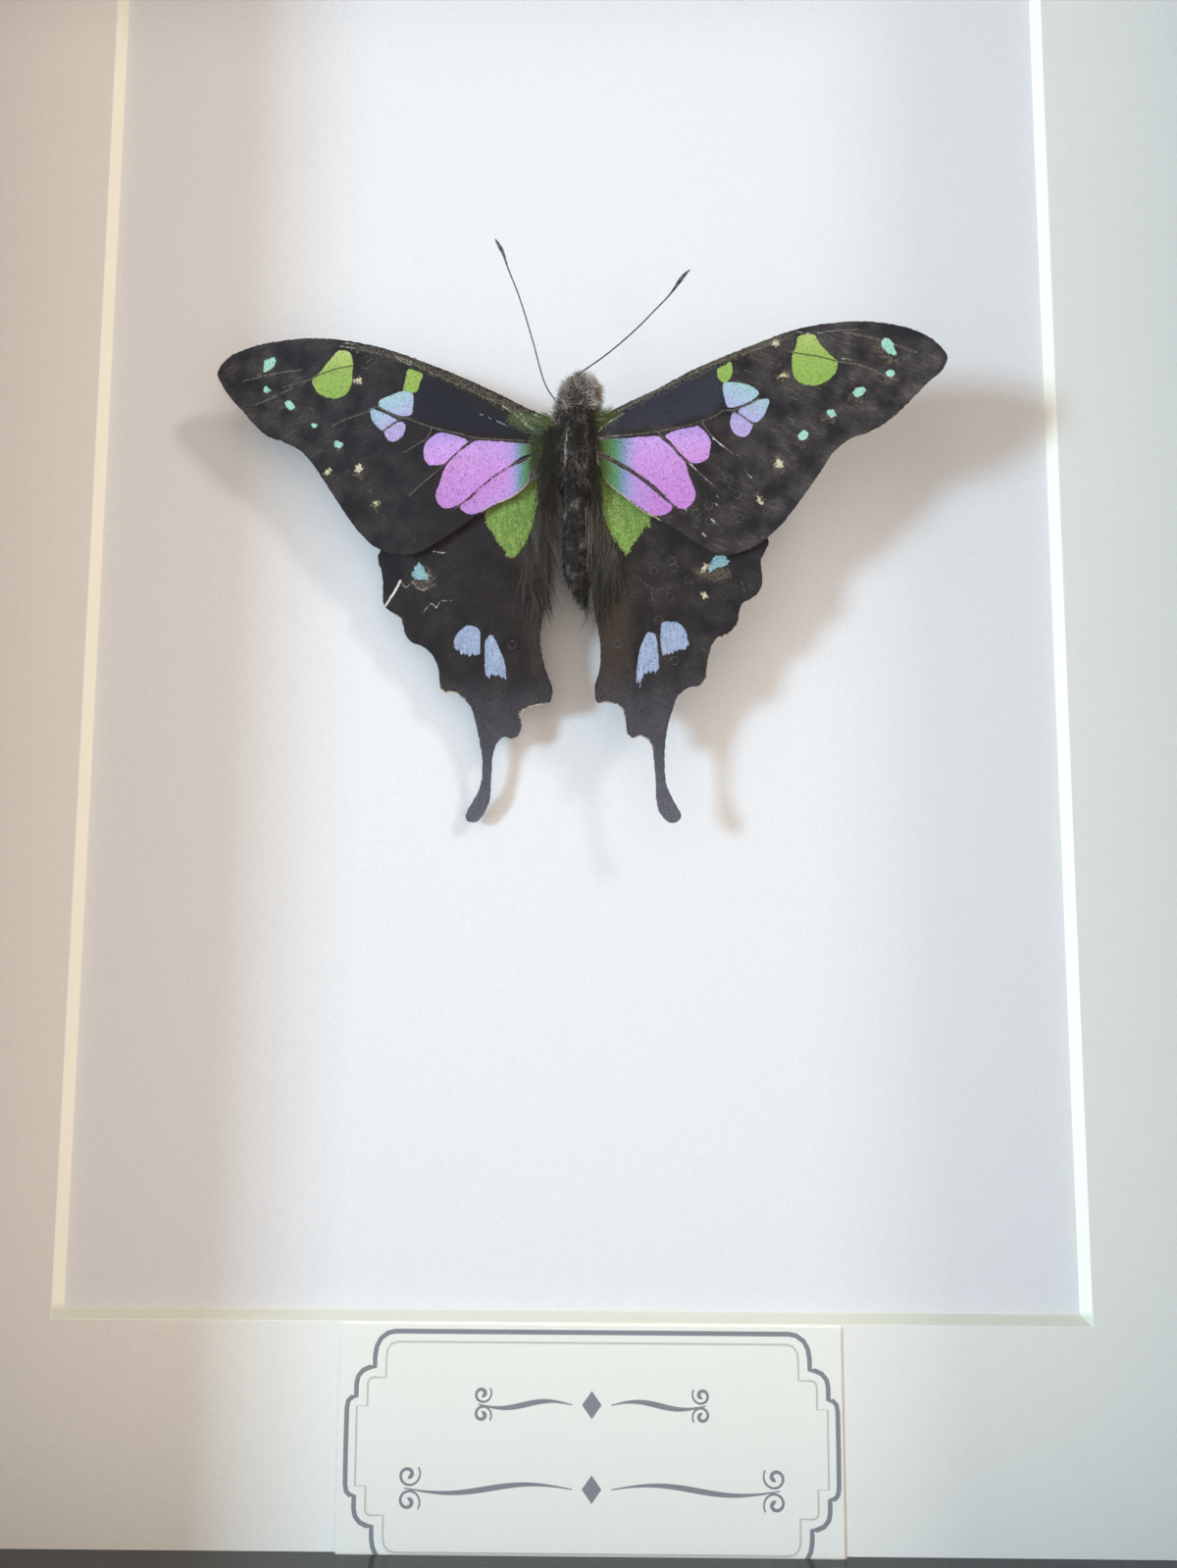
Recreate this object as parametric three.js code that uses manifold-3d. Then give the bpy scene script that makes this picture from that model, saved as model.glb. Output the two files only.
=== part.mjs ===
// Framed butterfly specimen: a swallowtail in a deep box frame, behind glass.
// Millimetres. X runs to the right, Y runs into the frame (the glass side faces -Y), Z is up.
// The origin is the middle of the edge that the frame stands on.

import * as THREE from 'three';
import { mergeVertices } from 'three/addons/utils/BufferGeometryUtils.js';
import Module from 'manifold-3d';

const wasm = await Module();
wasm.setup();

// Driving dimensions
const MAT = { width: 152.4, height: 203.2, thickness: 0.9 };
const WINDOW = { width: 101.6, height: 152.4, bevel: 0.9 };
const RAIL = { body: 11, lip: 6.5, lipDepth: 5, depth: 38, clearance: 0.5, mitreGap: 0.2 };
const GLASS = 2;
const SPACER = { thickness: 4.3, depth: 22, buttGap: 0.3 };
const CARD = 1.5;
const BOARD = 3;
const LABEL = { width: 48.5, height: 23.2, thickness: 0.2, centreX: 2.05, belowWindow: 0.2, relief: 0.3 };
const TAB = { width: 8, length: 12, thickness: 0.5, sunk: 3, slotPlay: 0.3, perRail: 2 };
const HANGER = { length: 42, height: 9, thickness: 0.8, rise: 1.4, flat: 7, ramp: 2, teeth: 9, toothDepth: 1.6 };
const RIVET = { headRadius: 1.9, headHeight: 0.9, shankRadius: 0.8, holeRadius: 1.1, shankLength: 2.6 };
const BLOCK = { width: 3, height: 7, gap: 0.3 };
const WING = { thickness: 0.4, layerGap: 0.3 };

// Sizes that follow from them
const rabbet = { width: MAT.width + 2 * RAIL.clearance, height: MAT.height + 2 * RAIL.clearance };
const outer = { width: rabbet.width + 2 * RAIL.body, height: rabbet.height + 2 * RAIL.body };
const centreZ = outer.height / 2;
const windowBottom = centreZ - WINDOW.height / 2;

// The layers, front to back
const frontFace = -RAIL.depth / 2;
const glassFront = frontFace + RAIL.lipDepth;
const glassBack = glassFront + GLASS;
const matFront = glassBack + SPACER.depth;
const matBack = matFront + MAT.thickness;
const cardBack = matBack + CARD;
const boardBack = cardBack + BOARD;

// The place on the thorax where the wings meet, which the wing outlines are measured from
const pin = { x: 0.2, z: windowBottom + 86.3 };

// Finishes
const finish = (color, roughness, metalness = 0) => new THREE.MeshStandardMaterial({ color, roughness, metalness });
const blackGloss = finish(0x17191a, 0.2);
const clearGlass = new THREE.MeshStandardMaterial({ color: 0xf4f8f7, roughness: 0.02, transparent: true, opacity: 0.2 });
const matBoard = finish(0xdcdfd2, 0.9);
const labelPaper = finish(0xeceee6, 0.85);
const whiteCard = finish(0xe9ebeb, 0.9);
const fibreboard = finish(0x8a6a48, 0.85);
const steel = finish(0x9a9a98, 0.4, 1);
const cork = finish(0xb98a5a, 0.9);
const wingBlack = finish(0x302c2c, 0.6);
const bodyBrown = finish(0x3a3530, 0.9);

const model = new THREE.Group();

function add(name, geometry, material) {
  const mesh = new THREE.Mesh(geometry, material);
  mesh.name = name;
  model.add(mesh);
  return mesh;
}

function slab([x0, x1], [y0, y1], [z0, z1]) {
  const box = new THREE.BoxGeometry(x1 - x0, y1 - y0, z1 - z0);
  return box.translate((x0 + x1) / 2, (y0 + y1) / 2, (z0 + z1) / 2);
}

// Cutting one closed shape with others
function solidOf(geometry) {
  const bare = geometry.clone();
  bare.deleteAttribute('normal');
  bare.deleteAttribute('uv');
  const merged = mergeVertices(bare, 1e-4);
  const mesh = new wasm.Mesh({
    numProp: 3,
    vertProperties: new Float32Array(merged.attributes.position.array),
    triVerts: new Uint32Array(merged.index.array),
  });
  return new wasm.Manifold(mesh);
}

function cut(geometry, cutters) {
  let solid = solidOf(geometry);
  for (const cutter of cutters) solid = solid.subtract(solidOf(cutter));
  const mesh = solid.getMesh();
  const result = new THREE.BufferGeometry();
  result.setAttribute('position', new THREE.BufferAttribute(new Float32Array(mesh.vertProperties), 3));
  result.setIndex(new THREE.BufferAttribute(new Uint32Array(mesh.triVerts), 1));
  return result;
}

// Frame moulding: flat face with a small round outside and a step down to the sight edge.
// The section is drawn as (distance in from the outer face, depth).
function railSection() {
  const sight = RAIL.body + RAIL.lip;
  const section = new THREE.Shape();
  section.moveTo(0, RAIL.depth / 2);
  section.lineTo(0, frontFace + 1.6);
  section.absarc(1.6, frontFace + 1.6, 1.6, Math.PI, 1.5 * Math.PI, false);
  section.lineTo(sight - 4.2, frontFace);
  section.lineTo(sight - 3.8, frontFace + 0.8);
  section.absarc(sight - 1.8, frontFace + 2.8, 1.8, -0.75 * Math.PI, 0, false);
  section.lineTo(sight, glassFront);
  section.lineTo(RAIL.body, glassFront);
  section.lineTo(RAIL.body, RAIL.depth / 2);
  section.closePath();
  return section;
}

// A rail along X, standing at z = 0 with its sight edge up, its ends cut to a mitre
function rail(length) {
  const half = length / 2;
  const geometry = new THREE.ExtrudeGeometry(railSection(), { depth: 1, bevelEnabled: false, curveSegments: 5 });
  const place = geometry.attributes.position;
  for (let i = 0; i < place.count; i += 1) {
    const inward = place.getX(i);
    const end = place.getZ(i) > 0.5 ? 1 : -1;
    place.setXYZ(i, end * (half - inward - RAIL.mitreGap), place.getY(i), inward);
  }
  const slots = tabPlaces(length).map((x) => slab(
    [x - TAB.width / 2 - TAB.slotPlay, x + TAB.width / 2 + TAB.slotPlay],
    [boardBack - TAB.slotPlay, boardBack + TAB.thickness + TAB.slotPlay],
    [RAIL.body - TAB.sunk - TAB.slotPlay, RAIL.body + 1],
  ));
  return cut(flipIfInsideOut(geometry), slots);
}

// Turns the faces round where a mapping has mirrored a closed shape
function flipIfInsideOut(geometry) {
  const loose = geometry.index ? geometry.toNonIndexed() : geometry;
  const place = loose.attributes.position;
  const [a, b, c] = [new THREE.Vector3(), new THREE.Vector3(), new THREE.Vector3()];
  let volume = 0;
  for (let i = 0; i < place.count; i += 3) {
    a.fromBufferAttribute(place, i);
    b.fromBufferAttribute(place, i + 1);
    c.fromBufferAttribute(place, i + 2);
    volume += a.dot(b.cross(c));
  }
  if (volume >= 0) return loose;
  for (let i = 0; i < place.count; i += 3) {
    b.fromBufferAttribute(place, i + 1);
    c.fromBufferAttribute(place, i + 2);
    place.setXYZ(i + 1, c.x, c.y, c.z);
    place.setXYZ(i + 2, b.x, b.y, b.z);
  }
  return loose;
}

function tabPlaces(length) {
  const step = length / (TAB.perRail + 1);
  return Array.from({ length: TAB.perRail }, (_, i) => (i + 1) * step - length / 2);
}

// The four sides: each is built standing at the bottom and turned about the frame's middle
const sides = [
  { name: 'bottom', turn: 0, length: outer.width, across: outer.height },
  { name: 'right', turn: -Math.PI / 2, length: outer.height, across: outer.width },
  { name: 'top', turn: Math.PI, length: outer.width, across: outer.height },
  { name: 'left', turn: Math.PI / 2, length: outer.height, across: outer.width },
];

// Steel point: sunk in the rail's slot, lying on the back of the board
function tabShape(x) {
  const half = TAB.width / 2;
  const start = RAIL.body - TAB.sunk;
  const outline = new THREE.Shape();
  outline.moveTo(x - half, start);
  outline.lineTo(x + half, start);
  outline.lineTo(x + half, start + TAB.length * 0.6);
  outline.lineTo(x + half * 0.45, start + TAB.length);
  outline.lineTo(x - half * 0.45, start + TAB.length);
  outline.lineTo(x - half, start + TAB.length * 0.6);
  outline.closePath();
  const geometry = new THREE.ExtrudeGeometry(outline, { depth: TAB.thickness, bevelEnabled: false });
  return geometry.rotateX(Math.PI / 2).translate(0, boardBack + TAB.thickness, 0);
}

let tabCount = 0;
for (const side of sides) {
  const group = new THREE.Group();
  group.position.z = centreZ;
  group.rotation.y = side.turn;
  model.add(group);

  const moulding = new THREE.Mesh(rail(side.length), blackGloss);
  moulding.name = `rail_${side.name}`;
  moulding.position.z = -side.across / 2;
  group.add(moulding);

  for (const x of tabPlaces(side.length)) {
    tabCount += 1;
    const tab = new THREE.Mesh(tabShape(x), steel);
    tab.name = `board_tab_${tabCount}`;
    tab.position.z = -side.across / 2;
    group.add(tab);
  }
}

// Glass
const spanX = [-MAT.width / 2, MAT.width / 2];
const spanZ = [centreZ - MAT.height / 2, centreZ + MAT.height / 2];
add('glass', slab(spanX, [glassFront, glassBack], spanZ), clearGlass);

// Inner wall: side strips run the full height, top and bottom strips stand between them
const wallX = MAT.width / 2 - SPACER.thickness;
const wallDepth = [glassBack, matFront];
const shortSpan = [-wallX + SPACER.buttGap, wallX - SPACER.buttGap];
add('spacer_left', slab([spanX[0], -wallX], wallDepth, spanZ), blackGloss);
add('spacer_right', slab([wallX, spanX[1]], wallDepth, spanZ), blackGloss);
add('spacer_top', slab(shortSpan, wallDepth, [spanZ[1] - SPACER.thickness, spanZ[1]]), blackGloss);

// The bottom strip is relieved over the foot of the label
const labelTop = windowBottom - LABEL.belowWindow;
const labelX = [LABEL.centreX - LABEL.width / 2, LABEL.centreX + LABEL.width / 2];
const labelZ = [labelTop - LABEL.height, labelTop];
const bottomStrip = slab(shortSpan, wallDepth, [spanZ[0], spanZ[0] + SPACER.thickness]);
const relief = slab(
  [labelX[0] - LABEL.relief, labelX[1] + LABEL.relief],
  [matFront - LABEL.thickness - LABEL.relief, matFront + 1],
  [labelZ[0] - LABEL.relief, labelZ[1]],
);
add('spacer_bottom', cut(bottomStrip, [relief]), blackGloss);

// Mat: a card ring, its window cut on a slope so that the opening narrows towards the back
function matRing() {
  const corner = (w, h, y) => [[-w, y, -h], [w, y, -h], [w, y, h], [-w, y, h]];
  const [ow, oh] = [MAT.width / 2, MAT.height / 2];
  const [ww, wh] = [WINDOW.width / 2, WINDOW.height / 2];
  const loops = [
    corner(ow, oh, matFront),
    corner(ww, wh, matFront),
    corner(ww - WINDOW.bevel, wh - WINDOW.bevel, matBack),
    corner(ow, oh, matBack),
  ];
  const index = [];
  for (let loop = 0; loop < 4; loop += 1) {
    const next = (loop + 1) % 4;
    for (let i = 0; i < 4; i += 1) {
      const j = (i + 1) % 4;
      const [a, b, c, d] = [loop * 4 + i, loop * 4 + j, next * 4 + j, next * 4 + i];
      index.push(a, b, c, a, c, d);
    }
  }
  const geometry = new THREE.BufferGeometry();
  geometry.setAttribute('position', new THREE.Float32BufferAttribute(loops.flat(2), 3));
  geometry.setIndex(index);
  return flipIfInsideOut(geometry).translate(0, 0, centreZ);
}
add('mat', matRing(), matBoard);
add('label', slab(labelX, [matFront - LABEL.thickness, matFront], labelZ), labelPaper);
add('backing_card', slab(spanX, [matBack, cardBack], spanZ), whiteCard);

// Backboard, drilled for the hanger's two rivets
const hangerZ = spanZ[1] - 22;
const rivetX = HANGER.length / 2 - HANGER.flat / 2;
const peg = (x, radius, y0, y1) => new THREE.CylinderGeometry(radius, radius, y1 - y0, 16)
  .translate(x, (y0 + y1) / 2, hangerZ);
const holes = [-rivetX, rivetX].map((x) => peg(x, RIVET.holeRadius, cardBack + 0.2, boardBack + HANGER.thickness + 1));
add('backboard', cut(slab(spanX, [cardBack, boardBack], spanZ), holes), fibreboard);

// Sawtooth hanger: flat ends on the board, a raised middle with teeth on its lower edge
function hangerStrip() {
  const half = HANGER.length / 2;
  const bend = half - HANGER.flat;
  const top = bend - HANGER.ramp;
  const lower = [[-half, 0], [-bend, 0], [-top, HANGER.rise], [top, HANGER.rise], [bend, 0], [half, 0]];
  const upper = lower.map(([x, y]) => [x, y + HANGER.thickness]).reverse();
  const section = new THREE.Shape([...lower, ...upper].map(([x, y]) => new THREE.Vector2(x, boardBack + y)));
  const strip = new THREE.ExtrudeGeometry(section, { depth: HANGER.height, bevelEnabled: false });
  strip.translate(0, 0, hangerZ - HANGER.height / 2);
  const pitch = (2 * top) / HANGER.teeth;
  const low = hangerZ - HANGER.height / 2;
  const notches = Array.from({ length: HANGER.teeth }, (_, i) => {
    const x = -top + (i + 0.5) * pitch;
    const notch = new THREE.Shape([
      new THREE.Vector2(x - pitch * 0.4, low - 1),
      new THREE.Vector2(x + pitch * 0.4, low - 1),
      new THREE.Vector2(x, low + HANGER.toothDepth),
    ]);
    const prism = new THREE.ExtrudeGeometry(notch, { depth: 4, bevelEnabled: false });
    return prism.rotateX(Math.PI / 2).translate(0, boardBack + 4, 0);
  });
  return cut(strip, [...notches, ...holes]);
}
add('hanger', hangerStrip(), steel);

// Rivet: a shank through strip and board, under a low dome
function rivet(x) {
  const seat = boardBack + HANGER.thickness;
  const profile = [
    new THREE.Vector2(0, -RIVET.shankLength),
    new THREE.Vector2(RIVET.shankRadius, -RIVET.shankLength),
    new THREE.Vector2(RIVET.shankRadius, 0),
    new THREE.Vector2(RIVET.headRadius, 0),
    new THREE.Vector2(RIVET.headRadius * 0.8, RIVET.headHeight * 0.7),
    new THREE.Vector2(0, RIVET.headHeight),
  ];
  return new THREE.LatheGeometry(profile, 16).translate(x, seat, hangerZ);
}
add('hanger_rivet_left', rivet(-rivetX), steel);
add('hanger_rivet_right', rivet(rivetX), steel);

// The butterfly leans: its right side and its head stand further from the card.
// Height over the card of the forewings' upper face, and the slopes, per millimetre from the pin.
const LEAN = { height: 6.7, across: 0.095, along: 0.1 };
const RIGHT_HINDWING = { height: 5.57, across: 0.095, along: 0.05 };
const heightOver = (lean, x, z) => lean.height + lean.across * x + lean.along * z;

// Left and right wings are drawn apart, because the real ones differ. Each outline is in
// millimetres right of and above the pin, clockwise from the root along the front edge.
const FOREWING_LEFT = [
  [-2.2, 2.6], [-4.8, 4.1], [-8.8, 6.2], [-13.5, 8.4], [-19, 10.6], [-23.1, 11.7], [-27.2, 12.2],
  [-31.4, 12], [-33.5, 11.6], [-35.6, 10.9], [-36.7, 10.1], [-37.3, 9], [-36.7, 7.6], [-35.8, 6.3],
  [-34.5, 4.9], [-33.2, 3.4], [-31.9, 2.3], [-30.3, 1.7], [-28.2, 0.5], [-26.1, -2.2], [-24, -5.4],
  [-21.9, -8.2], [-20.2, -9.6], [-18.3, -10.2], [-16.8, -10.3], [-15, -9.6], [-11.2, -7.3],
  [-8.7, -5.7], [-6.7, -4.9], [-5.4, -4.1], [-4.6, -2.9], [-4.1, -0.9], [-2.2, 0.8],
];
const FOREWING_RIGHT = [
  [2.2, 2.6], [4.2, 3.8], [8.3, 5.6], [12, 7.4], [17.7, 9.5], [20.6, 10.5], [23.5, 11.1],
  [28.2, 11.3], [32, 10.6], [34.5, 9.5], [35.7, 8.4], [36.3, 7.4], [35.8, 6.2], [34.7, 5.3],
  [32.2, 2.8], [30.6, 1.4], [28.7, 0.4], [27.3, 0], [25.5, -1.3], [24.3, -3.1], [22.6, -5.5],
  [20.7, -8], [19.1, -9.5], [17.8, -10.4], [16.9, -10.8], [14.9, -11.2], [12.5, -10.2],
  [10.1, -8.5], [6.8, -6.6], [4.4, -4.7], [3.2, -3.6], [2.5, -2.1], [2.2, -0.6], [2.1, 0.9],
];
const HINDWING_LEFT = [
  [-2.2, -1.5], [-4.3, -3], [-8.8, -5.6], [-14.9, -8.6], [-19, -9.2], [-20.2, -9.7], [-20.3, -10.8],
  [-20, -11.6], [-19.8, -13.2], [-19.7, -15.2], [-18.9, -15.9], [-17.9, -16.7], [-17.4, -18.3],
  [-16.7, -19.1], [-15.8, -19.4], [-14.7, -20.3], [-14, -21.7], [-13.9, -22.6], [-13.6, -24.1],
  [-12.2, -24.3], [-11.3, -25], [-10.6, -25.8], [-10.1, -27.4], [-9.7, -29.2], [-9.4, -31.4],
  [-9.6, -33.7], [-10.2, -35], [-11.1, -36.7], [-10.9, -37.3], [-10, -37.4], [-9.3, -36.6],
  [-8.7, -35.5], [-8.5, -33.4], [-8.3, -30.4], [-7.9, -29.4], [-7.2, -28.8], [-6.3, -29],
  [-5.6, -28.4], [-5.5, -27], [-5.6, -26.5], [-4.8, -25.9], [-3.3, -25.6], [-2.5, -25.3],
  [-2.3, -24], [-2.9, -22.3], [-3.5, -19.5], [-3.4, -17.5], [-3.1, -15.6], [-2.5, -12.6],
  [-2.7, -9.6], [-2.4, -5.7],
];
const HINDWING_RIGHT = [
  [2.2, -1.4], [3.9, -3], [7.4, -5.6], [13.1, -8.8], [17.4, -9.1], [19.2, -9.5], [19.2, -10.2],
  [18.5, -11.6], [18.6, -14.1], [17.9, -15.2], [16.6, -16], [16.1, -18], [15.5, -18.8],
  [14, -19.6], [13.3, -21.2], [13.1, -23.3], [12.3, -24.1], [11.4, -24.2], [10.3, -25.1],
  [9.7, -26.7], [9.2, -28.7], [9, -30.6], [9.2, -33.9], [10, -35.7], [10.6, -37.1], [9.8, -37.7],
  [8.7, -37], [8.2, -35.5], [8.1, -33.6], [7.9, -31.1], [7.6, -29.8], [6.6, -29], [5.9, -29.2],
  [5.3, -28.7], [5.1, -27.2], [4.6, -26.1], [3.3, -25.6], [2.3, -25.6], [2, -24.2], [2.5, -22.2],
  [2.6, -20.2], [2.3, -18.2], [1.8, -14.7], [1.9, -11.7], [2, -7.7], [2.1, -3.7],
];

// A wing: the outline as one smooth curve, cut from a thin sheet and laid on its leaning plane
function wing(outline, lean, drop) {
  const points = outline.map(([x, z]) => new THREE.Vector3(x, z, 0));
  const curve = new THREE.CatmullRomCurve3(points, true, 'centripetal');
  const smooth = curve.getPoints(outline.length * 3).slice(0, -1).map((p) => new THREE.Vector2(p.x, p.y));
  const sheet = new THREE.ExtrudeGeometry(new THREE.Shape(smooth), { depth: WING.thickness, bevelEnabled: false });
  const place = sheet.attributes.position;
  for (let i = 0; i < place.count; i += 1) {
    const [x, z, up] = [place.getX(i), place.getY(i), place.getZ(i) - WING.thickness];
    const height = heightOver(lean, x, z) - drop + up;
    place.setXYZ(i, pin.x + x, matBack - height, pin.z + z);
  }
  return flipIfInsideOut(sheet);
}
const hindDrop = WING.thickness + WING.layerGap;
add('forewing_left', wing(FOREWING_LEFT, LEAN, 0), wingBlack);
add('forewing_right', wing(FOREWING_RIGHT, LEAN, 0), wingBlack);
add('hindwing_left', wing(HINDWING_LEFT, LEAN, hindDrop), wingBlack);
add('hindwing_right', wing(HINDWING_RIGHT, RIGHT_HINDWING, 0), wingBlack);

// A skin over oval rings: each ring is { at: [x, y, z], across, deep }, with a point at both ends
function loft(rings, sideCount, turnOf) {
  const place = [];
  const index = [];
  rings.forEach((ring, i) => {
    const [u, v] = turnOf(i);
    for (let k = 0; k < sideCount; k += 1) {
      const angle = (2 * Math.PI * k) / sideCount;
      const [p, q] = [ring.across * Math.cos(angle), ring.deep * Math.sin(angle)];
      place.push(ring.at[0] + p * u.x + q * v.x, ring.at[1] + p * u.y + q * v.y, ring.at[2] + p * u.z + q * v.z);
    }
  });
  for (let i = 0; i + 1 < rings.length; i += 1) {
    for (let k = 0; k < sideCount; k += 1) {
      const next = (k + 1) % sideCount;
      const [a, b] = [i * sideCount + k, i * sideCount + next];
      const [c, d] = [a + sideCount, b + sideCount];
      index.push(a, b, d, a, d, c);
    }
  }
  const last = (rings.length - 1) * sideCount;
  for (let k = 1; k + 1 < sideCount; k += 1) {
    index.push(0, k + 1, k);
    index.push(last, last + k, last + k + 1);
  }
  const geometry = new THREE.BufferGeometry();
  geometry.setAttribute('position', new THREE.Float32BufferAttribute(place, 3));
  geometry.setIndex(index);
  return flipIfInsideOut(geometry);
}

// Body: stations down its length as [x, z, half width, half depth, height of its axis over the card]
const BODY = [
  [0.6, 7.3, 0.5, 0.4, 6.6], [0.6, 6.9, 1.3, 1.0, 6.6], [0.6, 6.1, 1.9, 1.6, 6.5], [0.5, 5, 2, 1.9, 6.4],
  [0.2, 4, 2, 2, 6.3], [-0.1, 3.1, 1.9, 1.9, 6.2], [-0.1, 2, 1.75, 2.1, 6.1], [-0.1, 0.6, 1.7, 2.3, 6],
  [0, -1.4, 1.7, 2.3, 5.9], [0, -3, 1.6, 2.1, 5.7], [0, -4.6, 1.25, 1.6, 5.4], [0, -6, 1.2, 1.5, 5.2],
  [0.1, -8, 1.3, 1.55, 4.9], [0.1, -10.5, 1.3, 1.5, 4.5], [0.2, -12.5, 1.25, 1.35, 4.2],
  [0.4, -13.6, 1, 1.1, 4], [0.8, -14.8, 0.6, 0.7, 3.8], [1, -15.8, 0.25, 0.3, 3.7],
];
const bodyRings = BODY.map(([x, z, across, deep, height]) => ({
  at: [pin.x + x, matBack - height, pin.z + z], across, deep,
}));
const flatRing = () => [new THREE.Vector3(1, 0, 0), new THREE.Vector3(0, 1, 0)];
add('body', loft(bodyRings, 18, flatRing), bodyBrown);

// Antennae: from the club back to the head, as [x, z, height over the card, radius]
const ANTENNA_LEFT = [
  [-8.2, 21, 8.6, 0.08], [-7.9, 20.5, 8.6, 0.2], [-7.6, 20, 8.5, 0.27], [-7.3, 19.4, 8.4, 0.2],
  [-6.9, 18.1, 8.3, 0.12], [-6, 15.9, 8.1, 0.12], [-5.3, 13.9, 7.9, 0.12], [-4.7, 11.9, 7.7, 0.12],
  [-4.1, 9.9, 7.5, 0.12], [-3.6, 7.9, 7.4, 0.12], [-2.9, 5.9, 7.2, 0.12], [-2, 4.7, 7, 0.12],
];
const ANTENNA_RIGHT = [
  [11.4, 17, 9.8, 0.08], [10.9, 16.6, 9.7, 0.2], [10.4, 16, 9.6, 0.28], [9.9, 15.3, 9.5, 0.2],
  [9.3, 14.5, 9.4, 0.12], [8, 13.2, 9.2, 0.12], [6.1, 11.3, 8.9, 0.12], [3.1, 8.8, 8.5, 0.12],
  [1.2, 7.5, 8.3, 0.12], [-0.1, 6.6, 8.1, 0.12], [-0.8, 5.9, 7.8, 0.12], [-1.2, 5.5, 7.5, 0.12],
];
function antenna(stations) {
  const points = stations.map(([x, z, height]) => new THREE.Vector3(pin.x + x, matBack - height, pin.z + z));
  const curve = new THREE.CatmullRomCurve3(points, false, 'centripetal');
  const steps = (stations.length - 1) * 2;
  const rings = Array.from({ length: steps + 1 }, (_, i) => {
    const t = i / steps;
    const at = curve.getPoint(t);
    const near = Math.min(Math.floor(t * (stations.length - 1)), stations.length - 2);
    const share = t * (stations.length - 1) - near;
    const radius = stations[near][3] * (1 - share) + stations[near + 1][3] * share;
    return { at: at.toArray(), across: radius, deep: radius, along: curve.getTangent(t) };
  });
  const turnOf = (i) => {
    const side = new THREE.Vector3(0, 1, 0).cross(rings[i].along).normalize();
    return [side, new THREE.Vector3().crossVectors(rings[i].along, side).normalize()];
  };
  return loft(rings, 8, turnOf);
}
add('antenna_left', antenna(ANTENNA_LEFT), bodyBrown);
add('antenna_right', antenna(ANTENNA_RIGHT), bodyBrown);

// Cork block under the thorax
const thoraxUnder = 3.6;
const block = slab(
  [pin.x - BLOCK.width / 2, pin.x + BLOCK.width / 2],
  [matBack - thoraxUnder + BLOCK.gap, matBack],
  [pin.z - 0.5 - BLOCK.height / 2, pin.z - 0.5 + BLOCK.height / 2],
);
add('mount_block', block, cork);

export default model;
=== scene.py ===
# Framed butterfly specimen: the looks of a purple-spotted swallowtail set in a deep glazed box frame.
# Metres, Z up, the glass side faces -Y. The origin is the middle of the edge that the frame stands on.

import math

import bmesh
import bpy
import numpy as np
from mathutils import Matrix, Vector, geometry, noise


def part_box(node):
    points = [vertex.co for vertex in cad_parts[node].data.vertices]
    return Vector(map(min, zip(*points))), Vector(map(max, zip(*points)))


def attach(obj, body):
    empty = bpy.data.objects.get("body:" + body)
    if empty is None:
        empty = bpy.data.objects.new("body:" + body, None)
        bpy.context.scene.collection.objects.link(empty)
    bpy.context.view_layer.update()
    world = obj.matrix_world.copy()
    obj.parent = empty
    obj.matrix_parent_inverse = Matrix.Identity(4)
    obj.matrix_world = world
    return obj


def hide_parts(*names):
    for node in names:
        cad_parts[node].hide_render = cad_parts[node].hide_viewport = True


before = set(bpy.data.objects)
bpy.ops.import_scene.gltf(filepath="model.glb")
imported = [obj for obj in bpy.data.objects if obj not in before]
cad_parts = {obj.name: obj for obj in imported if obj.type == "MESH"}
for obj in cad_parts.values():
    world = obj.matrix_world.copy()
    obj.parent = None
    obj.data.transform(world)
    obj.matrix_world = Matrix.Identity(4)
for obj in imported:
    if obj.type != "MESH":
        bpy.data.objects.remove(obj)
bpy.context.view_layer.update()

# Camera: 12 cm in front of the card, low, looking up a little at the specimen. Its lens is 27 mm where
# the long side of the picture is 36 mm.
LENS = 26.93
CAMERA_AT = (0.0028, -0.110, 0.0768)
CAMERA_TURN = (96.198, -0.252, 0.544)

bpy.ops.object.camera_add(location=CAMERA_AT, rotation=[math.radians(a) for a in CAMERA_TURN])
camera = bpy.context.object
camera.data.lens = LENS
camera.data.sensor_width = 36.0
camera.data.clip_start = 0.005
bpy.context.scene.camera = camera
bpy.context.scene.view_settings.view_transform = "Standard"

# Light: a tall cool window low on the left and a plainer lamp higher on the right, both at a low angle to
# the glass, so that the box's walls shade the card's sides. The room adds warm light from all round.
LAMP_AIM = Vector((0.0, 0.0, 0.11))
LAMPS = {
    # name: way to the lamp, distance, width and height, colour, watts
    "window_left": ((-1.5, -1.0, 0.15), 1.5, (0.22, 0.35), (0.53, 0.784, 1.0), 18.6),
    "lamp_right": ((1.45, -1.0, 1.25), 1.5, (0.18, 0.22), (1.0, 0.92, 0.865), 7.8),
}
ROOM_LIGHT = (0.815, 0.69, 0.61)
# What stands before the glass is in shade, so the glass and the gloss of the wings mirror a darker room
SHADE_BEFORE_GLASS = 0.12

for name, (direction, distance, size, colour, watts) in LAMPS.items():
    way = Vector(direction).normalized()
    bpy.ops.object.light_add(type="AREA", location=LAMP_AIM + way * distance)
    lamp = bpy.context.object
    lamp.name = name
    lamp.rotation_euler = way.to_track_quat("Z", "Y").to_euler()
    lamp.data.shape = "RECTANGLE"
    lamp.data.size, lamp.data.size_y = size
    lamp.data.color = colour
    lamp.data.energy = watts
    lamp.visible_transmission = False


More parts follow.
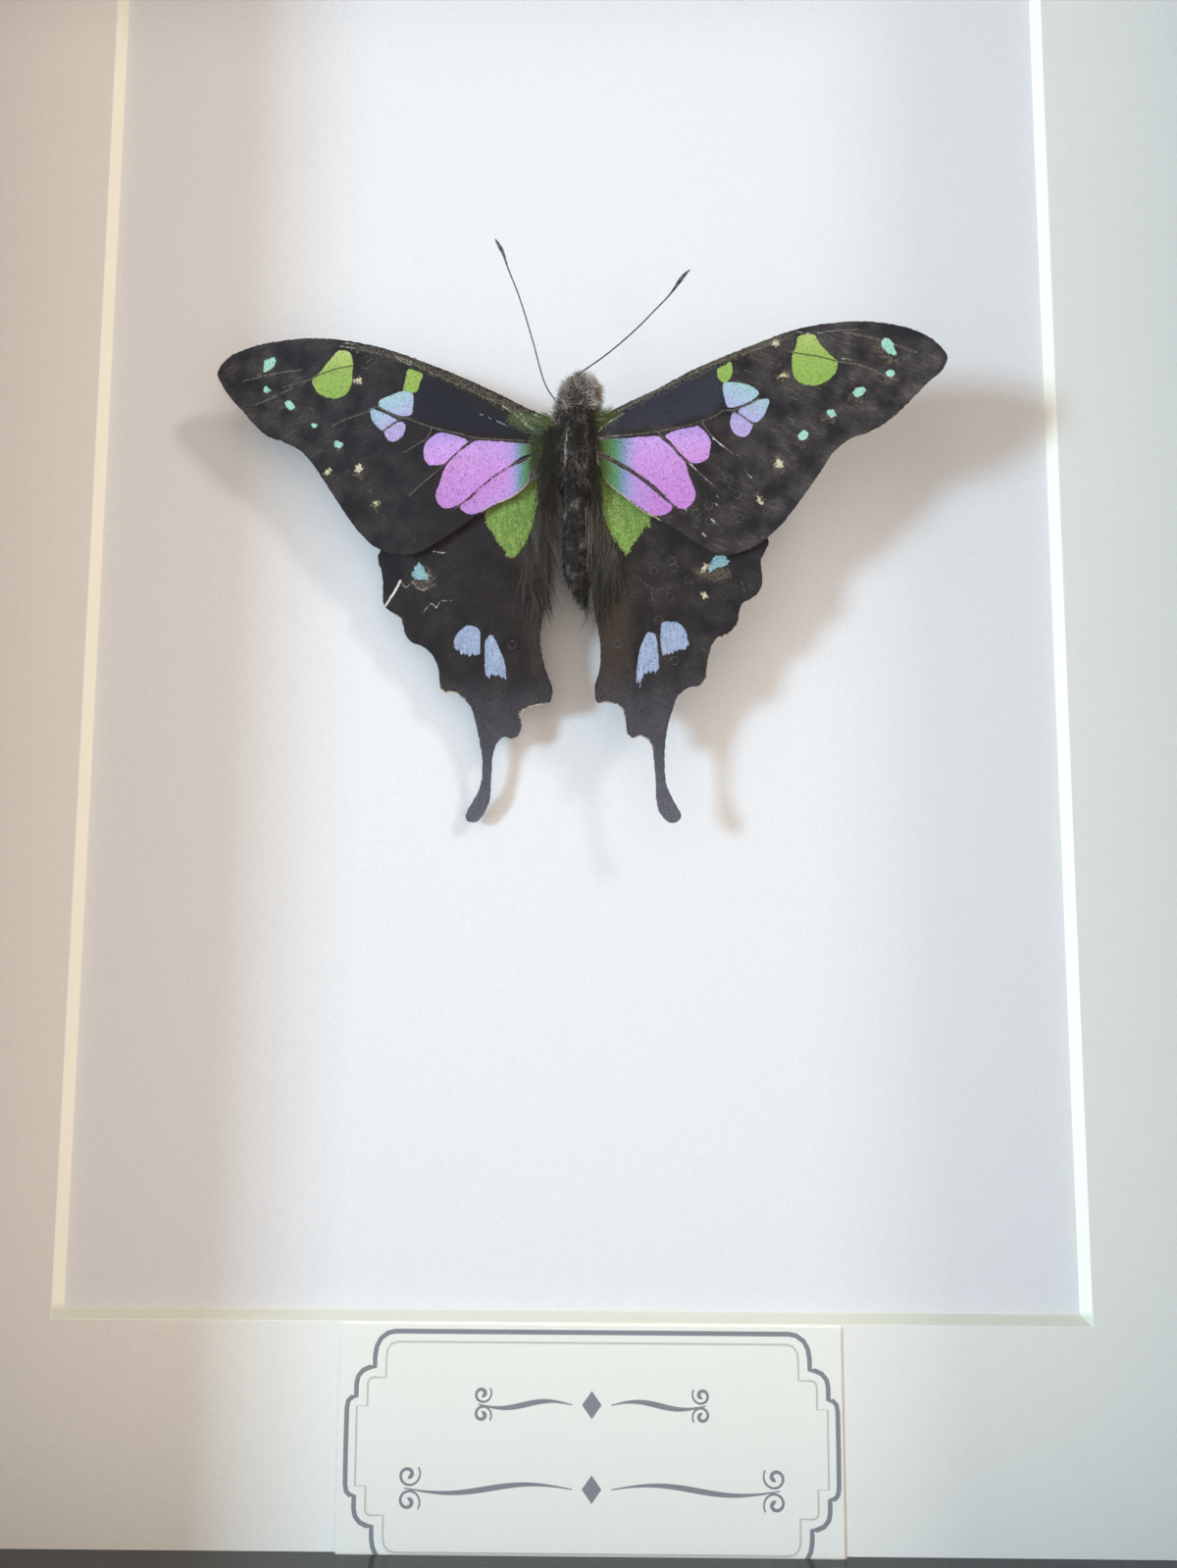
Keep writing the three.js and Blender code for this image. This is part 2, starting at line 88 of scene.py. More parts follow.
def linear(code):
    """The linear colour of a six-digit sRGB code."""
    parts = [int(code[i:i + 2], 16) / 255 for i in (0, 2, 4)]
    return (*(p / 12.92 if p <= 0.04045 else ((p + 0.055) / 1.055) ** 2.4 for p in parts), 1.0)


def new_material(name, **sockets):
    """A material with its node tree and its shader, whose plain sockets are set by name."""
    material = bpy.data.materials.new(name)
    material.use_nodes = True
    shader = material.node_tree.nodes["Principled BSDF"]
    for socket, value in sockets.items():
        shader.inputs[socket.replace("_", " ")].default_value = value
    return material, material.node_tree, shader


def connect(node, links):
    """Sets a node's inputs: a value is given, a socket or the first output of a node is joined."""
    for name, value in links.items():
        if isinstance(value, bpy.types.Node):
            value = next(output for output in value.outputs if output.enabled)
        if isinstance(value, bpy.types.NodeSocket):
            node.id_data.links.new(value, node.inputs[name])
        else:
            node.inputs[name].default_value = value


def add_node(tree, kind, links=None, stops=(), **settings):
    """Adds a node with its settings and links. Stops are the places and colours of a colour ramp."""
    node = tree.nodes.new("ShaderNode" + kind)
    for name, value in settings.items():
        setattr(node, name, value)
    for number, (place, code) in enumerate(stops):
        if number >= len(node.color_ramp.elements):
            node.color_ramp.elements.new(place)
        node.color_ramp.elements[number].position = place
        node.color_ramp.elements[number].color = linear(code)
    connect(node, links or {})
    return node


room = bpy.data.worlds.new("room")
bpy.context.scene.world = room
room.use_nodes = True
tree = room.node_tree
way = add_node(tree, "TexCoord").outputs["Generated"]
ahead = add_node(tree, "SeparateXYZ", {0: way}).outputs["Y"]
before = add_node(tree, "MapRange", {"Value": ahead, "From Min": -0.55, "From Max": -0.8})
mirrored_light = add_node(tree, "LightPath").outputs["Is Glossy Ray"]
both = add_node(tree, "Math", {0: before, 1: mirrored_light}, operation="MULTIPLY")
strength = add_node(tree, "MapRange", {"Value": both, "To Min": 1.0, "To Max": SHADE_BEFORE_GLASS})
connect(tree.nodes["Background"], {"Color": (*ROOM_LIGHT, 1.0), "Strength": strength})

# Floor: a pale table top of matt laminate, on which the frame stands. The pane mirrors no edge of it,
# from its front or from its back.
FLOOR_SIZE = 3.0
FLOOR_CLEARANCE = 0.0002
bpy.ops.mesh.primitive_plane_add(size=FLOOR_SIZE, location=(0, 0, -FLOOR_CLEARANCE))
floor = bpy.context.object
floor.name = "floor"
bpy.ops.object.transform_apply(location=True, rotation=False, scale=False)
pale_laminate, _, _ = new_material("pale_laminate", Base_Color=linear("d9d6d1"), Roughness=0.6)
floor.data.materials.append(pale_laminate)
floor.visible_glossy = False
floor.visible_transmission = False

# Frame moulding: four rails of wood under black semi-gloss lacquer, mitred and pinned at the corners.
# The lacquer has pooled in ripples 3.5 mm apart, which bend its reflections, and is duller in places.
MM = 0.001


def dress(node, material):
    """Gives a part of the solid model its finish."""
    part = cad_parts[node]
    part.data.materials.clear()
    part.data.materials.append(material)


lacquer, tree, shader = new_material("black_lacquered_wood", Base_Color=linear("17181a"),
                                     Roughness=0.26, Coat_Weight=0.35, Coat_Roughness=0.12)
here = add_node(tree, "TexCoord").outputs["Object"]
ripple = add_node(tree, "TexNoise", {"Vector": here, "Scale": 1 / (3.5 * MM), "Detail": 2.0})
grain = add_node(tree, "TexNoise", {"Vector": here, "Scale": 1 / (0.3 * MM), "Detail": 2.0})
dull = add_node(tree, "MapRange", {"Value": grain, "To Min": 0.2, "To Max": 0.34})
bump = add_node(tree, "Bump", {"Height": ripple, "Distance": 0.05 * MM, "Strength": 0.4})
connect(shader, {"Roughness": dull, "Normal": bump})
for side in ("top", "bottom", "left", "right"):
    dress(f"rail_{side}", lacquer)

# Glass: one pane of 2 mm clear float glass in the moulding's rabbet, behind the lip. Light from the
# lamps passes straight through it.
float_glass, tree, shader = new_material("clear_float_glass", Base_Color=(0.985, 0.995, 0.99, 1.0),
                                         Roughness=0.0, IOR=1.5, Transmission_Weight=1.0,
                                         Specular_IOR_Level=0.09)
path = add_node(tree, "LightPath")
straight = add_node(tree, "Math", {0: path.outputs["Is Shadow Ray"], 1: path.outputs["Is Diffuse Ray"]},
                    operation="MAXIMUM")
clear = add_node(tree, "BsdfTransparent")
pane = add_node(tree, "MixShader", {"Fac": straight, 1: shader, 2: clear})
connect(tree.nodes["Material Output"], {"Surface": pane})
dress("glass", float_glass)

# Inner wall: four strips of moulded black polystyrene that hold the mat away from the glass. They are
# smooth enough to mirror the mat, with fine scuffs in the gloss.
polystyrene, tree, shader = new_material("black_gloss_polystyrene", Base_Color=linear("34383a"),
                                         Roughness=0.1)
here = add_node(tree, "TexCoord").outputs["Object"]
scuff = add_node(tree, "TexNoise", {"Vector": here, "Scale": 1 / (0.8 * MM), "Detail": 4.0})
dull = add_node(tree, "MapRange", {"Value": scuff, "To Min": 0.06, "To Max": 0.2})
connect(shader, {"Roughness": dull})
for side in ("top", "bottom", "left", "right"):
    dress(f"spacer_{side}", polystyrene)

# Mat: a ring of 0.9 mm board, off-white paper over a paler cream core that shows on the bevelled cut.
# The paper is uncoated, with a felt grain about 0.5 mm across. The cut at the foot is painted darker, as
# painted shade.
MAT_FACE = linear("f5f4ed")
MAT_CORE = linear("fefaea")
SHADED_FOOT_CORE = linear("dcdfd0")
WINDOW_FOOT = 36.9 * MM
# The painted shade on the cut fades out between these heights over the foot of the window
FOOT_SHADE_FADES = (0.7 * MM, 1.4 * MM)
FACE_PAPER = 0.06 * MM
mat_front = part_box("mat")[0][1]

mat_board, tree, shader = new_material("uncoated_mat_board", Roughness=0.9, Specular_IOR_Level=0.2)
here = add_node(tree, "TexCoord").outputs["Object"]
place = add_node(tree, "SeparateXYZ", {"Vector": here})
# Painted shade: the core of the cut is darker at the foot of the window
foot_shade = add_node(tree, "MapRange", {"Value": place.outputs["Z"], "From Min": WINDOW_FOOT + FOOT_SHADE_FADES[1],
                                    "From Max": WINDOW_FOOT + FOOT_SHADE_FADES[0]})
core = add_node(tree, "Mix", {"Factor": foot_shade, "A": MAT_CORE, "B": SHADED_FOOT_CORE}, data_type="RGBA")
in_core = add_node(tree, "Math", {0: place.outputs["Y"], 1: mat_front + FACE_PAPER},
                   operation="GREATER_THAN")
felt = add_node(tree, "TexNoise", {"Vector": here, "Scale": 1 / (0.45 * MM), "Detail": 3.0})
mottle = add_node(tree, "MapRange", {"Value": felt, "To Min": 0.955, "To Max": 1.035})
tone = add_node(tree, "Mix", {"Factor": in_core, "A": MAT_FACE, "B": core}, data_type="RGBA")
tinted = add_node(tree, "Mix", {"Factor": 1.0, "A": tone, "B": mottle}, data_type="RGBA",
                  blend_type="MULTIPLY")
bump = add_node(tree, "Bump", {"Height": felt, "Distance": 0.04 * MM, "Strength": 0.6})
connect(shader, {"Base Color": tinted, "Normal": bump})
dress("mat", mat_board)

# Backing card: a sheet of bright white uncoated card against the back of the mat. Its fibres, about
# 0.35 mm apart, are only just seen.
white_card, tree, shader = new_material("uncoated_white_card", Roughness=0.9, Specular_IOR_Level=0.2)
here = add_node(tree, "TexCoord").outputs["Object"]
fibre = add_node(tree, "TexNoise", {"Vector": here, "Scale": 1 / (0.35 * MM), "Detail": 3.0})
mottle = add_node(tree, "ValToRGB", {"Fac": fibre}, [(0.3, "ebecec"), (0.7, "f2f2f3")])
bump = add_node(tree, "Bump", {"Height": fibre, "Distance": 0.03 * MM, "Strength": 0.5})
connect(shader, {"Base Color": mottle, "Normal": bump})
dress("backing_card", white_card)

# Label: a slip of smooth paper glued on the mat, printed in grey with a stepped border in two lines
# and two plain swelled ornaments. The printing is part of the sheet, so its faces lie in the same plane.
LABEL_MIDDLE = (2.2, 25.5)
THICK_LINE = 0.46
THIN_LINE = 0.2
# One corner of each line as (across, up) from the middle of the label, in millimetres
OUTER_CORNER = [
    (0, 10.6), (19.1, 10.6), (19.8, 10.45), (20.5, 9.95), (20.9, 9.2), (21.05, 8.3), (21.05, 7.3),
    (21.5, 7.25), (22.2, 6.95), (22.65, 6.4), (22.8, 5.7), (22.8, 4.55), (23.2, 4.48), (23.55, 4.15),
    (23.68, 3.5), (23.7, 0),
]
INNER_CORNER = [
    (0, 9.62), (18.8, 9.62), (19.45, 9.45), (19.85, 8.9), (19.95, 8.2), (19.95, 6.3), (21.2, 6.3),
    (21.55, 6.15), (21.7, 5.8), (21.7, 3.65), (22.72, 3.65), (22.72, 0),
]
# Each ornament's height from the middle of the label, its half length and the size of its scrolls
ORNAMENTS = [(3.9, 11.0, 0.95), (-3.8, 18.0, 1.2)]
LOZENGE = (0.95, 1.3)
# The swelled rule starts this far from the middle. Its width is given at its ends, with what it gains
# between them, and its wave as a share of the scrolls' size.
RULE_START = 1.9
RULE_WIDTH = (0.12, 0.42)
RULE_WAVE = 0.35
RULE_STEPS = 40
# A scroll's eye is a share of its size, and its stroke grows thinner outwards
SCROLL_TURNS = 1.35
SCROLL_EYE = 0.12
SCROLL_INSET = 0.4
SCROLL_WIDTH = (0.42, 0.16)
SCROLL_STEPS = 26
# Points nearer together than this, in millimetres, are one
SAME_PLACE = 1e-5


def mirrored(corner):
    """The closed line that one corner makes on all four sides."""
    right = corner + [(x, -z) for x, z in corner[-2::-1]]
    return right + [(-x, z) for x, z in right[-2:0:-1]]


def beside(line, width, closed):
    """The closed outline of a stroke along a line, as wide as width says at each point."""
    line = np.array(line, float)
    if closed:
        ahead, behind = np.roll(line, -1, 0), np.roll(line, 1, 0)
    else:
        ahead, behind = np.vstack([line[1:], line[-1:]]), np.vstack([line[:1], line[:-1]])
    along = ahead - behind
    along /= np.linalg.norm(along, axis=1)[:, None]
    out = np.stack([along[:, 1], -along[:, 0]], 1) * (np.asarray(width) / 2).reshape(-1, 1)
    return line + out, line - out


def inside(points, ring):
    """True for each point inside a closed ring."""
    within = np.zeros(len(points), bool)
    for (ax, az), (bx, bz) in zip(ring, np.roll(ring, -1, 0)):
        crosses = (az > points[:, 1]) != (bz > points[:, 1])
        if az != bz:
            within ^= crosses & (points[:, 0] < (bx - ax) * (points[:, 1] - az) / (bz - az) + ax)
    return within


def sheet_mesh(rings, lines=(), fill=()):
    """Triangles inside the first ring, with an edge along every ring and line. Millimetres."""
    points, edges = [], []
    for chain, closed in [(ring, True) for ring in rings] + [(line, False) for line in lines]:
        first, count = len(points), len(chain)
        points += [Vector(p) for p in chain]
        edges += [(first + i, first + i + 1) for i in range(count - 1)]
        edges += [(first + count - 1, first)] if closed else []
    points += [Vector(p) for p in fill]
    found, _, faces, *_ = geometry.delaunay_2d_cdt(points, edges, [], 0, SAME_PLACE)
    found = np.array([tuple(p) for p in found])
    faces = np.array(faces)
    keep = inside(found[faces].mean(1), np.array(rings[0]))
    return found, faces[keep]


def new_mesh_object(name, points, faces):
    """A new object of this mesh, selected and active."""
    bpy.ops.object.select_all(action="DESELECT")
    mesh = bpy.data.meshes.new(name)
    mesh.from_pydata(points.tolist(), [], faces)
    made = bpy.data.objects.new(name, mesh)
    bpy.context.collection.objects.link(made)
    bpy.context.view_layer.objects.active = made
    made.select_set(True)
    return made


def modify(kind, **settings):
    """Applies a modifier with these settings to the active object."""
    bpy.ops.object.modifier_add(type=kind)
    modifier = bpy.context.object.modifiers[0]
    for name, value in settings.items():
        setattr(modifier, name, value)
    bpy.ops.object.modifier_apply(modifier=modifier.name)


def scroll(centre, start, size, sense):
    """A spiral line that winds out from its centre."""
    steps = np.linspace(0, 1, SCROLL_STEPS)
    angle = start + sense * steps * SCROLL_TURNS * 2 * math.pi
    reach = size * (SCROLL_EYE + (1 - SCROLL_EYE) * steps)
    return np.stack([centre[0] + reach * np.cos(angle), centre[1] + reach * np.sin(angle)], 1)


def ornament(height, half_length, scroll_size):
    """A swelled rule on both sides of a lozenge, each side ending in a pair of scrolls."""
    wide, high = LOZENGE
    strokes = [np.array([(0, high), (wide, 0), (0, -high), (-wide, 0)]) + (0, height)]
    steps = np.linspace(0, 1, RULE_STEPS)
    thin, swell = RULE_WIDTH
    widths = thin + swell * np.sin(steps * math.pi) ** 1.5
    for side in (-1, 1):
        across = side * (RULE_START + steps * (half_length - RULE_START))
        wave = height + RULE_WAVE * scroll_size * np.sin(steps * 2 * math.pi)
        lines = [(np.stack([across, wave], 1), widths)]
        for up in (-1, 1):
            centre = (side * (half_length - SCROLL_INSET), height + up * scroll_size)
            curl = scroll(centre, -up * math.pi / 2, scroll_size, -side * up)
            lines.append((curl, np.linspace(*SCROLL_WIDTH, len(curl))))
        for line, width in lines:
            a, b = beside(line, width, False)
            strokes.append(np.vstack([a, b[::-1]]))
    return strokes


label_low, label_high = (Vector(corner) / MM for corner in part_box("label"))
middle = np.array(LABEL_MIDDLE)
sheet_ring = np.array([(label_low.x, label_low.z), (label_high.x, label_low.z),
                       (label_high.x, label_high.z), (label_low.x, label_high.z)])
thick_out, thick_in = (side + middle for side in beside(mirrored(OUTER_CORNER), THICK_LINE, True))
thin_out, thin_in = (side + middle for side in beside(mirrored(INNER_CORNER), THIN_LINE, True))
inked = [stroke + middle for sizes in ORNAMENTS for stroke in ornament(*sizes)]
flat, faces = sheet_mesh([sheet_ring, thick_out, thick_in, thin_out, thin_in, *inked])
centres = flat[faces].mean(1)
in_thick = inside(centres, thick_out) != inside(centres, thick_in)
in_thin = inside(centres, thin_out) != inside(centres, thin_in)
in_ornament = np.any([inside(centres, stroke) for stroke in inked], axis=0)

front = np.full(len(flat), label_low.y)
points = np.stack([flat[:, 0], front, flat[:, 1]], 1) * MM
label = new_mesh_object("label_sheet", points, faces.tolist())
label.data.polygons.foreach_set("material_index", np.where(in_thick | in_ornament, 1, in_thin * 2))
modify("SOLIDIFY", thickness=(label_high.y - label_low.y) * MM, offset=-1.0)


def paper(name, code):
    """Uncoated label paper, bare or printed."""
    made, tree, shader = new_material(name, Roughness=0.85, Specular_IOR_Level=0.25)
    here = add_node(tree, "TexCoord").outputs["Object"]
    tooth = add_node(tree, "TexNoise", {"Vector": here, "Scale": 1 / (0.25 * MM), "Detail": 3.0})
    mottle = add_node(tree, "MapRange", {"Value": tooth, "To Min": 0.94, "To Max": 1.05})
    tone = add_node(tree, "Mix", {"Factor": 1.0, "A": linear(code), "B": mottle},
                    data_type="RGBA", blend_type="MULTIPLY")
    bump = add_node(tree, "Bump", {"Height": tooth, "Distance": 0.02 * MM, "Strength": 0.5})
    connect(shader, {"Base Color": tone, "Normal": bump})
    return made


for name, code in (("label_paper", "f7f7ee"), ("grey_ink_on_paper", "8b8d92"),
                   ("faint_grey_ink_on_paper", "cbcdc6")):
    label.data.materials.append(paper(name, code))
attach(label, "root")
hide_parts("label")

# Back: a sheet of raw brown hardboard, held in the rabbet by eight flat points. A sawtooth hanger is
# fixed on it by two rivets. Points, hanger and rivets are stamped steel, zinc plated.
hardboard, tree, shader = new_material("raw_hardboard", Roughness=0.85, Specular_IOR_Level=0.3)
here = add_node(tree, "TexCoord").outputs["Object"]
chip = add_node(tree, "TexVoronoi", {"Vector": here, "Scale": 1 / (0.9 * MM)})
fleck = add_node(tree, "TexNoise", {"Vector": here, "Scale": 1 / (0.5 * MM), "Detail": 5.0})
blend = add_node(tree, "Mix", {"Factor": 0.65, "A": chip.outputs["Color"], "B": fleck.outputs["Color"]},
                 data_type="RGBA")
tone = add_node(tree, "ValToRGB", {"Fac": blend}, [(0.25, "765a42"), (0.75, "987857")])
bump = add_node(tree, "Bump", {"Height": fleck, "Distance": 0.08 * MM, "Strength": 0.6})
connect(shader, {"Base Color": tone, "Normal": bump})
dress("backboard", hardboard)

zinc, tree, shader = new_material("zinc_plated_steel", Base_Color=linear("b9bab8"), Metallic=1.0,
                                  Roughness=0.35)
here = add_node(tree, "TexCoord").outputs["Object"]
spangle = add_node(tree, "TexVoronoi", {"Vector": here, "Scale": 1 / (1.2 * MM)})
dull = add_node(tree, "MapRange", {"Value": spangle, "To Min": 0.28, "To Max": 0.5})
connect(shader, {"Roughness": dull})
for number in range(1, 9):
    dress(f"board_tab_{number}", zinc)
for name in ("hanger", "hanger_rivet_left", "hanger_rivet_right"):
    dress(name, zinc)

# Mount block: a small piece of cut cork, glued on the card under the thorax. It carries the butterfly
# away from the card.
cork, tree, shader = new_material("cut_cork", Roughness=0.9, Specular_IOR_Level=0.2)
here = add_node(tree, "TexCoord").outputs["Object"]
cell = add_node(tree, "TexVoronoi", {"Vector": here, "Scale": 1 / (0.9 * MM)})
tone = add_node(tree, "ValToRGB", {"Fac": cell}, [(0.0, "c79a66"), (1.0, "8d6238")])
bump = add_node(tree, "Bump", {"Height": cell, "Distance": 0.1 * MM})
connect(shader, {"Base Color": tone, "Normal": bump})
dress("mount_block", cork)

# Wings: dry membranes about 0.1 mm thick, covered in overlapping scales. They are set flat and lean, so
# that the right side stands further from the card. Marks are measured in millimetres from the pin.
PIN = (0.2, 123.2)
CARD_FRONT = 10.9
WING_SKIN = 0.12
# A wing's height over the card at the pin, and how much it rises on the way across and up
LEAN = (6.7, 0.095, 0.1)
LEFT_HINDWING_LEAN = (6.0, 0.095, 0.1)
RIGHT_HINDWING_LEAN = (5.57, 0.095, 0.05)
# The sheet lies this far behind the wing's leaning plane
SHEET_BEHIND = 0.15
# The distance between points, between their rows and to the nearest line, the last two as shares of it
MESH_STEP = 0.17
ROW_PITCH = 0.87
LINE_CLEARANCE = 0.45
# The step along the smoothed outlines of patches and along marks that are lines
PATCH_STEP = 0.5
LINE_STEP = 0.4
RAGGED_RIM = 0.025
# The normal of a face that is turned to the glass goes at least this far along Y
FACES_GLASS = -0.7
# Veins and folds stand up as ridges, and the skin between them sags
RIDGE_HEIGHT, RIDGE_HALF_WIDTH = 0.07, 0.22
SAG, SAG_REACH = 0.1, 2.0
# The dry skin is warped in slow waves: height, radians for each millimetre across and up, and start.
# They fade out within this distance from the edge.
WARPS = [(0.08, 0.31, 0.23, 0.0), (0.05, -0.6, 0.47, 1.3)]
WARP_FADE = 2.0
# The sky-blue patches turn violet along this way, in and down, about the place that "dusk" gives
DUSK_WAY = (0.45, 0.89)
# Between these distances from the pin the wear grows from a wing's first value to its second
WEAR_GROWS = (14, 30)
# Each drop carries a painted glint, a pale ring of this radius round its rim
DROP_GLINT_RADIUS = 0.4
# A distance that stands for all that is not near, and a length that stands for none
FAR = 9.0
TINY = 1e-12
SMOOTH_ANGLE = math.radians(50)
SEED = 11
SOFT_KINDS = ("violet", "cool", "green", "leaf", "sky", "blue", "cell", "moss", "strip", "brown", "tan")
SQUARE_KINDS = ("mint", "cyan", "cream")
LINE_KINDS = ("veins", "flecks", "cuts", "tears", "scratches", "hem", "fray")

